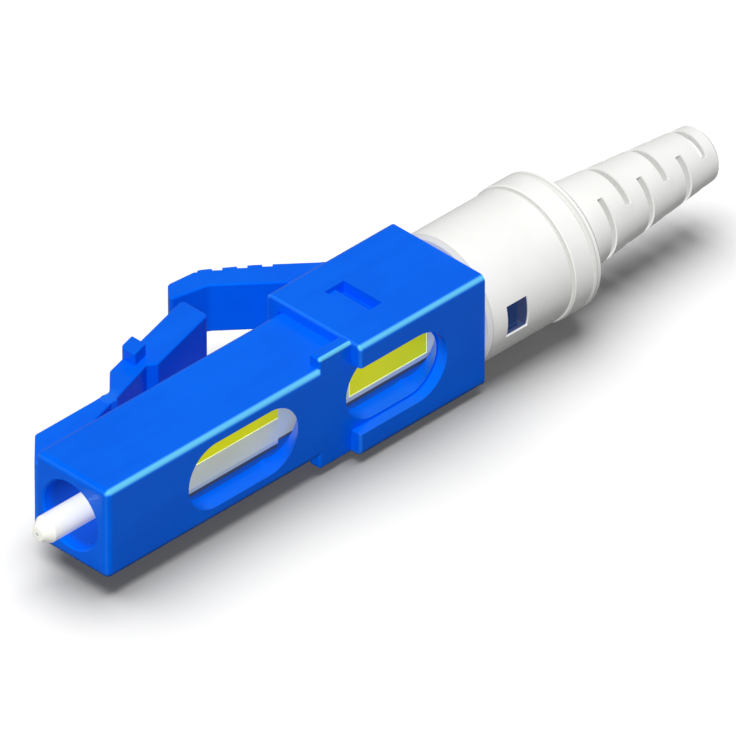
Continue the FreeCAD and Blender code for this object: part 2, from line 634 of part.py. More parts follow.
def trigger_lever():
    """The finger lever, with its knuckle and the grip grooves."""
    lever = plate([
        (*on_lever(LEVER_GAP, -TRIGGER_INNER), 0),
        (*on_lever(LEVER_THROAT, -TRIGGER_INNER), LEVER_THROAT_RADIUS),
        (*on_lever(LEVER_TIP, LEVER_TIP_INNER), LEVER_CHIN_RADIUS),
        (*on_lever(LEVER_TIP, LEVER_TIP_OUTER), LEVER_BROW_RADIUS),
        (*on_lever(LEVER_CROWN, LEVER_CROWN_OUTER), LEVER_CROWN_RADIUS),
        (*on_lever(LEVER_BEND, TRIGGER_OUTER), LEVER_BEND_RADIUS),
        (*on_lever(LEVER_GAP, TRIGGER_OUTER), 0),
    ], TRIGGER_WIDTH, TRIGGER_EDGE)
    knuckle = cross_pin(KNUCKLE_RADIUS, TRIGGER_WIDTH, TRIGGER_HINGE_X, TRIGGER_HINGE_Y)
    grooves = [grip_groove(GRIP_START + index * GRIP_PITCH) for index in range(GRIP_COUNT)]
    return lever.fuse(knuckle).cut(grooves).removeSplitter()


# ---- Ferrule group -------------------------------------------------------------------
def ferrule():
    """The ceramic ferrule: a tapered, slightly domed tip and an adhesive groove."""
    bore = FIBRE_RADIUS + CAPILLARY_CLEARANCE
    groove = FLANGE_NOSE_FRONT
    dome_edge = V(FERRULE_TIP + TIP_DOME, TIP_FACE_RADIUS, 0)
    dome_middle = V(FERRULE_TIP + TIP_DOME / 4, (TIP_FACE_RADIUS + bore) / 2, 0)
    profile = [
        V(FERRULE_TIP, bore, 0),
        V(FERRULE_END, bore, 0),
        V(FERRULE_END, FERRULE_RADIUS, 0),
        V(groove + GLUE_GROOVE_LENGTH, FERRULE_RADIUS, 0),
        V(groove + GLUE_GROOVE_LENGTH / 2, FERRULE_RADIUS - GLUE_GROOVE_DEPTH, 0),
        V(groove, FERRULE_RADIUS, 0),
        V(FERRULE_TIP + TIP_CHAMFER_LENGTH, FERRULE_RADIUS, 0),
        dome_edge,
    ]
    edges = [Part.LineSegment(*ends).toShape() for ends in zip(profile, profile[1:])]
    edges.append(Part.Arc(dome_edge, dome_middle, profile[0]).toShape())
    return Part.Face(Part.Wire(edges)).revolve(V(0, 0, 0), X_AXIS, 360)


def fibre_stub():
    """The factory-polished length of bare fibre, from the tip into the splice."""
    return rod(FIBRE_RADIUS, FERRULE_TIP, FERRULE_TIP + FIBRE_STUB_LENGTH)


def ferrule_flange():
    """The metal flange that carries the ferrule, turned and then flatted."""
    boss_end = FLANGE_COLLAR_END + FLANGE_BOSS_LENGTH
    bore = FERRULE_RADIUS + GLUE_GAP
    lead = FLANGE_WALL / 3
    body = turned([
        (FLANGE_NOSE_FRONT, bore),
        (FLANGE_NOSE_FRONT, FLANGE_BOSS_RADIUS - lead),
        (FLANGE_NOSE_FRONT + lead, FLANGE_BOSS_RADIUS),
        (FLANGE_FRONT, FLANGE_BOSS_RADIUS),
        (FLANGE_FRONT, FLANGE_COLLAR_RADIUS - lead),
        (FLANGE_FRONT + lead, FLANGE_COLLAR_RADIUS),
        (FLANGE_COLLAR_END, FLANGE_COLLAR_RADIUS),
        (FLANGE_COLLAR_END, FLANGE_BOSS_RADIUS),
        (boss_end, FLANGE_BOSS_RADIUS),
        (boss_end, GUIDE_RADIUS),
        (FERRULE_END + GLUE_GAP, GUIDE_RADIUS),
        (FERRULE_END + GLUE_GAP, bore),
    ])
    half = FLANGE_HALF_FLAT
    far = FLANGE_COLLAR_RADIUS + OVER
    flats = [
        block(FLANGE_FRONT - OVER, FLANGE_COLLAR_END, y0, y1, -far, far)
        for y0, y1 in ((half, far), (-far, -half))
    ]
    return body.cut(flats)


# ---- Splice --------------------------------------------------------------------------
def lid_pad(x0, x1, z0):
    """The raised pad of a lid behind a window, up from its parting face."""
    y1 = PAD_SINK - SPLICE_FACE
    return block(x0, x1, -PAD_FACE, y1, z0, SPLICE_HALF_WIDTH)


def base_pad(x0, x1, z1):
    """A raised pad of the base behind a window: its low edge leans back and hangs over."""
    points = [
        (PAD_SINK - SPLICE_FACE, z1),
        (-PAD_FACE, z1),
        (-PAD_FACE, -PAD_SHOULDER),
        (PAD_LEAN - PAD_FACE, -PAD_SKIRT),
        (-SPLICE_FACE, -PAD_SKIRT),
        (PAD_SINK - SPLICE_FACE, PAD_SINK - SPLICE_HALF_WIDTH),
    ]
    outline = [V(x0, y, z) for y, z in points]
    return Part.Face(Part.makePolygon(outline + outline[:1])).extrude(V(x1 - x0, 0, 0))


def splice_base():
    """The grooved base: three full-height blocks with a lid seat in each gap."""
    width = SPLICE_HALF_WIDTH
    fibre_x0 = FIBRE_LID_START - LID_GAP
    fibre_x1 = FIBRE_LID_END + LID_GAP
    fibre_floor = FIBRE_PARTING - LID_GAP
    buffer_x0 = BUFFER_LID_START - LID_GAP
    buffer_x1 = BUFFER_LID_END + LID_GAP
    buffer_floor = -BUFFER_PARTING - LID_GAP
    y0 = -SPLICE_FACE - OVER
    y1 = SPLICE_BACK + OVER
    rib_half = BUFFER_RIB_WIDTH / 2
    rib = block(buffer_x0, buffer_x1, -rib_half, rib_half, buffer_floor, -BUFFER_RADIUS)
    funnel = turned([
        (BUFFER_SEAT - FUNNEL_LENGTH, 0),
        (BUFFER_SEAT - FUNNEL_LENGTH, GUIDE_RADIUS),
        (BUFFER_SEAT, BUFFER_RADIUS),
        (BUFFER_SEAT + GLUE_GAP, 0),
    ])
    boss_end = FLANGE_COLLAR_END + FLANGE_BOSS_LENGTH + GLUE_GAP
    cutters = [
        block(fibre_x0, fibre_x1, y0, y1, fibre_floor, width + OVER),
        block(buffer_x0, buffer_x1, y0, y1, buffer_floor, width + OVER).cut(rib),
        rod(FLANGE_BOSS_RADIUS + GLUE_GAP, SPLICE_FRONT - OVER, boss_end),
        rod(GUIDE_RADIUS, SPLICE_FRONT, BUFFER_SEAT),
        rod(BUFFER_RADIUS + GLUE_GAP, BUFFER_SEAT, SPLICE_END + OVER),
        funnel,
        fibre_groove(fibre_x0, fibre_x1),
    ]
    body = block(SPLICE_FRONT, SPLICE_END, -SPLICE_FACE, SPLICE_BACK, -width, width).cut(cutters)
    pads = [
        base_pad(fibre_x0 - PAD_END, fibre_x0, width),
        base_pad(fibre_x0 - PAD_SINK, fibre_x1, fibre_floor),
        base_pad(buffer_x0 - PAD_END, buffer_x0, width),
        base_pad(buffer_x0 - PAD_SINK, buffer_x1 + PAD_SINK, buffer_floor),
        base_pad(buffer_x1, SPLICE_END, width),
    ]
    return body.fuse(pads).removeSplitter()


def fibre_groove(x0, x1):
    """A cutter for the 90 degree groove that lines up the two bare fibres."""
    apex = -FIBRE_RADIUS * math.sqrt(2)
    rise = FIBRE_PARTING - apex
    outline = [V(x0, y, z) for y, z in ((0, apex), (rise, apex + rise), (-rise, apex + rise))]
    face = Part.Face(Part.makePolygon(outline + outline[:1]))
    return face.extrude(V(x1 - x0, 0, 0))


def fibre_lid():
    """The lid that presses the bare fibres into their groove."""
    width = SPLICE_HALF_WIDTH
    lid = block(FIBRE_LID_START, FIBRE_LID_END, -SPLICE_FACE, SPLICE_BACK, FIBRE_PARTING, width)
    lid = lid.fuse(lid_pad(FIBRE_LID_START, FIBRE_LID_END, FIBRE_PARTING))
    return lid.removeSplitter()


def buffer_lid():
    """The lid over the fibre's buffer coating, with a skirt on each side of the rib."""
    width = SPLICE_HALF_WIDTH
    x0 = BUFFER_LID_START
    x1 = BUFFER_LID_END
    lid = block(x0, x1, -SPLICE_FACE, SPLICE_BACK, -BUFFER_PARTING, width)
    lid = lid.fuse(lid_pad(x0, x1, -BUFFER_PARTING))
    half = BUFFER_RIB_WIDTH / 2 + BUFFER_RIB_GAP
    below = -BUFFER_PARTING - OVER
    rib_room = block(x0 - OVER, x1 + OVER, -half, half, below, LID_GAP - BUFFER_RADIUS)
    channel = block(x0 - OVER, x1 + OVER, -BUFFER_RADIUS, BUFFER_RADIUS, below, 0)
    arch = rod(BUFFER_RADIUS, x0 - OVER, x1 + OVER)
    return lid.cut([rib_room, channel, arch]).removeSplitter()


def splice_clip(lid_start, lid_end):
    """A U-shaped spring clip that squeezes one lid onto the base."""
    start = lid_start + CLIP_MARGIN
    end = lid_end - CLIP_MARGIN
    inner = SPLICE_HALF_WIDTH + CLIP_GAP
    back = SPLICE_BACK + CLIP_GAP
    mouth = -SPLICE_FACE + CLIP_LIP
    outer = inner + CLIP_THICKNESS
    clip = block(start, end, mouth, back + CLIP_THICKNESS, -outer, outer)

    def outer_corner(first, last):
        """True on the two long edges where the arms turn into the back."""
        return along_x(first, last) and min(first.y, last.y) > back

    clip = soften(clip, 2 * CLIP_THICKNESS, outer_corner)
    clip = clip.cut(block(start - OVER, end + OVER, mouth - OVER, back, -inner, inner))
    finger = (end - start - (CLIP_FINGERS - 1) * CLIP_SLOT) / CLIP_FINGERS
    slots = []
    for index in range(1, CLIP_FINGERS):
        x0 = start + index * finger + (index - 1) * CLIP_SLOT
        slots.append(
            block(x0, x0 + CLIP_SLOT, mouth - OVER, back - CLIP_LIP, -outer - OVER, outer + OVER)
        )
    return clip.cut(slots)


def fibre_clip():
    """The spring clip over the fibre lid."""
    return splice_clip(FIBRE_LID_START, FIBRE_LID_END)


def buffer_clip():
    """The spring clip over the buffer lid."""
    return splice_clip(BUFFER_LID_START, BUFFER_LID_END)


# ---- Spring and collet ---------------------------------------------------------------
def ferrule_spring():
    """The coil spring between the splice and the seat in the tail tube."""
    front = SPLICE_END + SPRING_END_GAP + WIRE_RADIUS
    length = SPRING_SEAT - SPRING_END_GAP - WIRE_RADIUS - front
    helix = Part.makeHelix(length / SPRING_TURNS, length, SPRING_RADIUS)
    section = Part.Wire(Part.makeCircle(WIRE_RADIUS, V(SPRING_RADIUS, 0, 0), Y_AXIS))
    coil = Part.Wire(helix.Edges).makePipeShell([section], True, True)
    coil.rotate(V(0, 0, 0), Y_AXIS, 90)
    coil.translate(V(front, 0, 0))
    return coil


def cord_collet():
    """The slit collet that grips the cord's jacket inside the tail tube."""
    outer = COLLET_BORE_RADIUS - COLLET_CLEARANCE
    end = BARB_FRONT - COLLET_END_GAP
    body = turned([
        (COLLET_FRONT, CORD_BORE_RADIUS),
        (COLLET_FRONT, outer),
        (end - COLLET_TAPER, outer),
        (end, outer - COLLET_TAPER / 2),
        (end, CORD_BORE_RADIUS),
    ])
    half = COLLET_SLIT_WIDTH / 2
    slits = []
    for index in range(COLLET_SLITS):
        slit = block(COLLET_FRONT + COLLET_RING, end + OVER, 0, outer + OVER, -half, half)
        slit.rotate(V(0, 0, 0), X_AXIS, (index + 0.5) * 360 / COLLET_SLITS)
        slits.append(slit)
    return body.cut(slits)


# ---- Boot ----------------------------------------------------------------------------
def boot_sleeve():
    """The rigid sleeve that snaps over the tail tube."""
    collar_start = SLEEVE_BACK - COLLAR_LENGTH
    end_wall = SLEEVE_BACK - SLEEVE_END_WALL
    body = turned([
        (SLEEVE_FRONT, SLEEVE_BORE),
        (SLEEVE_FRONT, SLEEVE_RADIUS - SLEEVE_RIM),
        (SLEEVE_FRONT + SLEEVE_RIM, SLEEVE_RADIUS),
        (collar_start - COLLAR_GROOVE, SLEEVE_RADIUS),
        (collar_start - COLLAR_GROOVE, SLEEVE_RADIUS - COLLAR_GROOVE),
        (collar_start, SLEEVE_RADIUS - COLLAR_GROOVE),
        (collar_start, COLLAR_RADIUS - COLLAR_RISE / 2),
        (collar_start + COLLAR_RISE / 2, COLLAR_RADIUS),
        (SLEEVE_BACK - COLLAR_RISE, COLLAR_RADIUS),
        (SLEEVE_BACK, COLLAR_RADIUS - COLLAR_RISE),
        (SLEEVE_BACK, SLEEVE_HOLE),
        (end_wall, SLEEVE_HOLE),
        (end_wall, SLEEVE_BORE),
    ])
    start = SLEEVE_FRONT + BOOT_SNAP_SETBACK
    half = BOOT_SNAP_WIDTH / 2
    far = SLEEVE_RADIUS + OVER
    return body.cut(block(start, start + BOOT_SNAP_LENGTH, -far, far, -half, half))


def strain_relief():
    """The flexible taper, with its flange, barbed spigot and bending slots."""
    flange_front = SLEEVE_BACK + FLANGE_GAP
    body = turned([
        (BARB_FRONT, CORD_BORE_RADIUS),
        (BARB_FRONT, SPIGOT_RADIUS),
        (BARB_BACK - BARB_LAND, SPIGOT_RADIUS + BARB_RISE),
        (BARB_BACK, SPIGOT_RADIUS + BARB_RISE),
        (BARB_BACK, SPIGOT_RADIUS),
        (flange_front, SPIGOT_RADIUS),
        (flange_front, COLLAR_RADIUS - COLLAR_RISE),
        (flange_front + COLLAR_RISE, COLLAR_RADIUS),
        (CONE_FRONT - FLANGE_RIM, COLLAR_RADIUS),
        (CONE_FRONT, COLLAR_RADIUS - FLANGE_RIM),
        (CONE_FRONT, CONE_FRONT_RADIUS),
        (CONE_END - CONE_TIP_ROUND, CONE_END_RADIUS),
        (CONE_END, CONE_END_RADIUS - CONE_TIP_ROUND),
        (CONE_END, CORD_BORE_RADIUS),
    ])
    slots = []
    for index in range(SLOT_COUNT):
        x0 = CONE_FRONT + SLOT_START + index * SLOT_PITCH - SLOT_WIDTH / 2
        turn = 90 * (index % 2)
        slots += [bend_slot(x0, turn), bend_slot(x0, turn + 180)]
    return body.cut(slots)


def bend_slot(x0, turn):
    """A cutter for one bending slot, its middle turned round the axis from +Y."""
    slot = Part.makeCylinder(CONE_FRONT_RADIUS + OVER, SLOT_WIDTH, V(0, 0, 0), Z_AXIS, SLOT_ARC)
    slot.rotate(V(0, 0, 0), Z_AXIS, -SLOT_ARC / 2)
    slot.rotate(V(0, 0, 0), Y_AXIS, 90)
    slot.rotate(V(0, 0, 0), X_AXIS, turn + 90)
    slot.translate(V(x0, 0, 0))
    return slot


PARTS = {
    "plug_housing": plug_housing,
    "latch_arm": latch_arm,
    "rear_housing": rear_housing,
    "trigger_lever": trigger_lever,
    "ferrule": ferrule,
    "fibre_stub": fibre_stub,
    "ferrule_flange": ferrule_flange,
    "splice_base": splice_base,
    "fibre_lid": fibre_lid,
    "buffer_lid": buffer_lid,
    "fibre_clip": fibre_clip,
    "buffer_clip": buffer_clip,
    "ferrule_spring": ferrule_spring,
    "cord_collet": cord_collet,
    "boot_sleeve": boot_sleeve,
    "strain_relief": strain_relief,
}

os.makedirs("parts", exist_ok=True)
for node, make in PARTS.items():
    shape = make()
    shape.exportStep("parts/" + node + ".step")
    box = shape.BoundBox
    print(
        f"{node:15s} solids {len(shape.Solids)} valid {shape.isValid()} volume {shape.Volume:8.3f} "
        f"x {box.XMin:6.2f} {box.XMax:6.2f} y {box.YMin:6.2f} {box.YMax:6.2f} z {box.ZMin:6.2f} {box.ZMax:6.2f}"
    )
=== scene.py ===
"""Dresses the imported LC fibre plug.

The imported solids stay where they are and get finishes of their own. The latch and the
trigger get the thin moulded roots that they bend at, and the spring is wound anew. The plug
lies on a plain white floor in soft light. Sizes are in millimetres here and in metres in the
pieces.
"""

import logging
import math
from dataclasses import dataclass
from enum import Enum
from typing import Dict, List, Optional, Sequence, Tuple, Union

import bmesh
import bpy
from mathutils import Matrix, Vector

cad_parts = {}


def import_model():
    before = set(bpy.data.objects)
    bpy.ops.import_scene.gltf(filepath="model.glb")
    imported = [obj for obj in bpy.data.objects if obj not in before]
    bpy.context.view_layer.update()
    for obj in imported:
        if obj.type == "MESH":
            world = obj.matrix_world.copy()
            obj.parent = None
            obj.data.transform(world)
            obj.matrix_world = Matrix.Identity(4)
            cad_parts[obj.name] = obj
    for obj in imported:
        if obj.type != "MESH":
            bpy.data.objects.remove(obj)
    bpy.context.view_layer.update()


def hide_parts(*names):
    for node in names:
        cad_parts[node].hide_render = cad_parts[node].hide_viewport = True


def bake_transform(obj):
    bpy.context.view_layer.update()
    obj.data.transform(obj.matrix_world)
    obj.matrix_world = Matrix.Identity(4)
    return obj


LOG = logging.getLogger("plug")
MM = 0.001
LATCH_HINGE = (5.35, 3.18)
TRIGGER_HINGE = (19.08, 3.62)
MIX_FACTOR = 0
MIX_FIRST = 6
MIX_SECOND = 7
MIX_RESULT = 2
PLASTIC_IOR = 1.5
CERAMIC_IOR = 2.1
SILICA_IOR = 1.458
PARALLEL = 0.999
SMOOTH_ANGLE = 35.0
ROUNDING_STEPS = 3
ROOT_CUTS = 7
COIL_STEPS = 36
WIRE_SIDES = 16

Colour = Tuple[float, float, float]
Place = Tuple[float, float, float]


class Body(Enum):
    """The rigid bodies of the plug."""

    HOUSING = "housing"
    LATCH = "latch"
    TRIGGER = "trigger"
    CARRIER = "ferrule_carrier"


# ---- Node trees --------------------------------------------------------------------------
class Wire:
    """A value in a node tree. Arithmetic on it adds Math nodes."""

    def __init__(self, nodes: "Nodes", socket: bpy.types.NodeSocket) -> None:
        """Keeps the socket that the value leaves.

        Args:
            nodes: The tree that the socket belongs to.
            socket: The output socket.
        """
        self.nodes = nodes
        self.socket = socket

    def join(self, operation: str, left: "Term", right: "Term") -> "Wire":
        """Adds one Math node.

        Args:
            operation: The node's operation.
            left: First value.
            right: Second value.

        Returns:
            The node's result.
        """
        node = self.nodes.add("ShaderNodeMath", {"operation": operation}, {0: left, 1: right})
        return Wire(self.nodes, node.outputs[0])

    def __add__(self, other: "Term") -> "Wire":
        """The sum."""
        return self.join("ADD", self, other)

    def __radd__(self, other: "Term") -> "Wire":
        """The sum, with a number on the left."""
        return self.join("ADD", other, self)

    def __sub__(self, other: "Term") -> "Wire":
        """The difference."""
        return self.join("SUBTRACT", self, other)

    def __rsub__(self, other: "Term") -> "Wire":
        """The difference, with a number on the left."""
        return self.join("SUBTRACT", other, self)

    def __mul__(self, other: "Term") -> "Wire":
        """The product."""
        return self.join("MULTIPLY", self, other)

    def __rmul__(self, other: "Term") -> "Wire":
        """The product, with a number on the left."""
        return self.join("MULTIPLY", other, self)

    def __pow__(self, other: "Term") -> "Wire":
        """The power."""
        return self.join("POWER", self, other)

    def __rpow__(self, other: "Term") -> "Wire":
        """The power, with a number as its base."""
        return self.join("POWER", other, self)

    def __abs__(self) -> "Wire":
        """The value without its sign."""
        return self.join("ABSOLUTE", self, 0.0)


Term = Union[Wire, float]


class Nodes:
    """A node tree under construction."""

    def __init__(self, owner: Union[bpy.types.Material, bpy.types.World]) -> None:
        """Starts an empty tree.

        Args:
            owner: The material or world that the tree belongs to.
        """
        owner.use_nodes = True
        self.tree = owner.node_tree
        self.tree.nodes.clear()

    def add(
        self,
        kind: str,
        settings: Optional[Dict[str, object]] = None,
        inputs: Optional[Dict[Union[int, str], object]] = None,
    ) -> bpy.types.Node:
        """Adds a node.

        Args:
            kind: The node's type.
            settings: Its settings, set first.
            inputs: Values or wires for its sockets, by index or name.

        Returns:
            The node.
        """
        node = self.tree.nodes.new(kind)
        for name, value in (settings or {}).items():
            setattr(node, name, value)
        for key, value in (inputs or {}).items():
            self.feed(node.inputs[key], value)
        return node

    def feed(self, socket: bpy.types.NodeSocket, value: object) -> None:
        """Links a wire to a socket, or sets the socket's value.

        Args:
            socket: The input socket.
            value: A wire, a number or a sequence of numbers.
        """
        if isinstance(value, Wire):
            self.tree.links.new(value.socket, socket)
        elif isinstance(value, tuple) and len(value) == 3 and socket.type == "RGBA":
            socket.default_value = (*value, 1.0)
        else:
            socket.default_value = value

    def wire(self, node: bpy.types.Node, output: Union[int, str] = 0) -> Wire:
        """The wire that leaves one of a node's outputs."""
        return Wire(self, node.outputs[output])


class Recipe(Nodes):
    """One material under construction: a Principled surface and the nodes that feed it."""

    def __init__(self, name: str) -> None:
        """Starts an empty material.

        Args:
            name: The material's name.
        """
        self.material = bpy.data.materials.new(name)
        super().__init__(self.material)
        self.surface = self.add("ShaderNodeBsdfPrincipled")
        self.add("ShaderNodeOutputMaterial", inputs={"Surface": self.wire(self.surface)})

    def place(self, scale: Place = (1.0, 1.0, 1.0), turn: Place = (0.0, 0.0, 0.0)) -> Wire:
        """Where a surface point lies, in millimetres, stretched and turned.

        Args:
            scale: Factor on each axis, after millimetres.
            turn: Turn about each axis, in degrees.

        Returns:
            The vector.
        """
        point = self.wire(self.add("ShaderNodeTexCoord"), "Object")
        values = {
            "Vector": point,
            "Rotation": tuple(math.radians(angle) for angle in turn),
            "Scale": tuple(factor / MM for factor in scale),
        }
        return self.wire(self.add("ShaderNodeMapping", inputs=values))

    def coordinates(self) -> List[Wire]:
        """The three coordinates of a surface point, in millimetres."""
        split = self.add("ShaderNodeSeparateXYZ", inputs={0: self.place()})
        return [self.wire(split, index) for index in range(3)]

    def reach(self, first: Wire, second: Wire) -> Wire:
        """The distance from the line on which two coordinates are both 0."""
        return (first * first + second * second) ** 0.5

    def noise(self, place: Wire, scale: float, detail: float, rough: float) -> Wire:
        """Smooth random patches between 0 and 1.

        Args:
            place: Where to read it.
            scale: Patches to a millimetre.
            detail: Finer layers.
            rough: Strength of the finer layers.

        Returns:
            The value.
        """
        values = {"Vector": place, "Scale": scale, "Detail": detail, "Roughness": rough}
        return self.wire(self.add("ShaderNodeTexNoise", inputs=values))

    def ease(self, value: Term, low: float, high: float) -> Wire:
        """A smooth step from 0 to 1.

        Args:
            value: What is compared.
            low: Where the step starts.
            high: Where it ends; below low it falls.

        Returns:
            The step.
        """
        falls = low > high
        values = {
            "Value": value,
            "From Min": min(low, high),
            "From Max": max(low, high),
            "To Min": float(falls),
            "To Max": float(not falls),
        }
        settings = {"interpolation_type": "SMOOTHSTEP"}
        return self.wire(self.add("ShaderNodeMapRange", settings, values))

    def blend(self, factor: Term, first: object, second: object) -> Wire:
        """Mixes two colours.

        Args:
            factor: Share of the second.
            first: First colour or wire.
            second: Second colour or wire.

        Returns:
            The mixed colour.
        """
        settings = {"data_type": "RGBA", "clamp_factor": True}
        values = {MIX_FACTOR: factor, MIX_FIRST: first, MIX_SECOND: second}
        return self.wire(self.add("ShaderNodeMix", settings, values), MIX_RESULT)

    def bump(self, height: Wire, depth: float) -> Wire:
        """A normal from a height between 0 and 1, where 1 stands for a depth in millimetres."""
        values = {"Height": height, "Distance": depth * MM, "Strength": 1.0}
        return self.wire(self.add("ShaderNodeBump", inputs=values))

    def finish(self, **values: object) -> bpy.types.Material:
        """Sets the surface's sockets, named with underscores for spaces.

        Args:
            **values: Values or wires.

        Returns:
            The material.
        """
        for name, value in values.items():
            self.feed(self.surface.inputs[name.replace("_", " ")], value)
        return self.material


# ---- Finishes ----------------------------------------------------------------------------
@dataclass(frozen=True)
class EdgeHighlight:
    """Painted highlight on the rounded edges of a square bar: a paler colour, strongest on one
    long edge, where light would catch the rounding.
    """

    side: float
    top: float
    bottom: float
    front: float
    back: float
    reach: float = 0.30
    core: float = 0.09
    core_share: float = 0.4
    rim: float = 0.14
    rim_share: float = 0.18
    far_share: float = 0.08
    spill: float = 0.03

    def near(self, recipe: Recipe, value: Wire, edge: float, reach: float) -> Wire:
        """Rises from 0 to 1 as a coordinate comes up to an edge, and ends there.

        Args:
            recipe: The material that reads it.
            value: The coordinate.
            edge: Where the edge lies.
            reach: How far before it the rise starts.

        Returns:
            The rise.
        """
        core = min(self.core, reach * self.core_share)
        rise = recipe.ease(value, edge - reach, edge - core)
        return rise * recipe.ease(value, edge + 2 * self.spill, edge + self.spill)

    def mask(self, recipe: Recipe) -> Wire:
        """How much painted highlight a surface point gets from the edges near it.

        Args:
            recipe: The material that reads it.

        Returns:
            1 on the long edge that the painted highlight favours and 0 away from all of them.
        """
        x, y, z = recipe.coordinates()
        left = self.near(recipe, z, self.side, self.reach)
        right = self.near(recipe, z * -1.0, self.side, self.reach)
        under = self.near(recipe, y * -1.0, self.bottom, self.reach)
        over = self.near(recipe, y, self.top, self.reach)
        long_edges = left * under + (left * over + right * (under + over)) * self.far_share
        ahead = self.near(recipe, x * -1.0, -self.front, self.rim)
        rims = ahead * (left + under + over + right) * self.rim_share
        span = recipe.ease(x, self.front - 2 * self.spill, self.front - self.spill)
        span = span * recipe.ease(x, self.back + 2 * self.spill, self.back + self.spill)
        return recipe.ease(long_edges + rims, 0.0, 1.0) * span


@dataclass(frozen=True)
class Cavity:
    """The square chamber inside a housing and the round socket that leads to it."""

    side: float
    top: float
    bottom: float
    start: float
    start_fade: float = 0.05
    socket_radius: float = 1.60
    socket_mouth: Tuple[float, float] = (0.05, 0.90)
    socket_end: Tuple[float, float] = (5.0, 4.0)
    wall_fade: Tuple[float, float] = (0.020, 0.005)
    depth: float = 0.55

    def within(self, recipe: Recipe, value: Wire, wall: float) -> Wire:
        """Rises from 0 to 1 as a coordinate comes in past a wall."""
        outer, inner = self.wall_fade
        return recipe.ease(value, wall + outer, wall + inner)

    def mask(self, recipe: Recipe) -> Wire:
        """Where the plastic lies inside, out of the light.

        Args:
            recipe: The material that reads it.

        Returns:
            Up to the cavity's depth of shade, and 0 on the outside.
        """
        x, y, z = recipe.coordinates()
        chamber = self.within(recipe, abs(z), self.side) * self.within(recipe, y, self.top)
        chamber = chamber * self.within(recipe, y * -1.0, self.bottom)
        chamber = chamber * recipe.ease(x, self.start, self.start + self.start_fade)
        socket = self.within(recipe, recipe.reach(y, z), self.socket_radius)
        socket = socket * recipe.ease(x, *self.socket_mouth) * recipe.ease(x, *self.socket_end)
        return recipe.ease(chamber + socket, 0.0, 1.0) * self.depth


@dataclass(frozen=True)
class Bend:
    """A thin root that bends, where the plastic whitens a little."""

    along: float
    up: float
    reach: float
    core_share: float = 0.3
    whitening: float = 0.06

    def mask(self, recipe: Recipe) -> Wire:
        """How far the plastic has whitened.

        Args:
            recipe: The material that reads it.

        Returns:
            The whitening at the root and 0 away from it.
        """
        x, y, _ = recipe.coordinates()
        away = recipe.reach(x - self.along, y - self.up)
        return recipe.ease(away, self.reach, self.reach * self.core_share) * self.whitening


@dataclass(frozen=True)
class PinMark:
    """The ring that an ejector pin leaves on a face square to Z."""

    along: float
    up: float
    side: float
    radius: float = 0.42
    line: float = 0.05
    face_fade: Tuple[float, float] = (0.12, 0.06)

    def mask(self, recipe: Recipe) -> Wire:
        """Where the ring runs.

        Args:
            recipe: The material that reads it.

        Returns:
            1 on the ring and 0 away from it.
        """
        x, y, z = recipe.coordinates()
        away = recipe.reach(x - self.along, y - self.up)
        ring = recipe.ease(abs(away - self.radius), self.line, 0.0)
        outward = z * math.copysign(1.0, self.side)
        start, end = (abs(self.side) - fade for fade in self.face_fade)
        return ring * recipe.ease(outward, start, end)


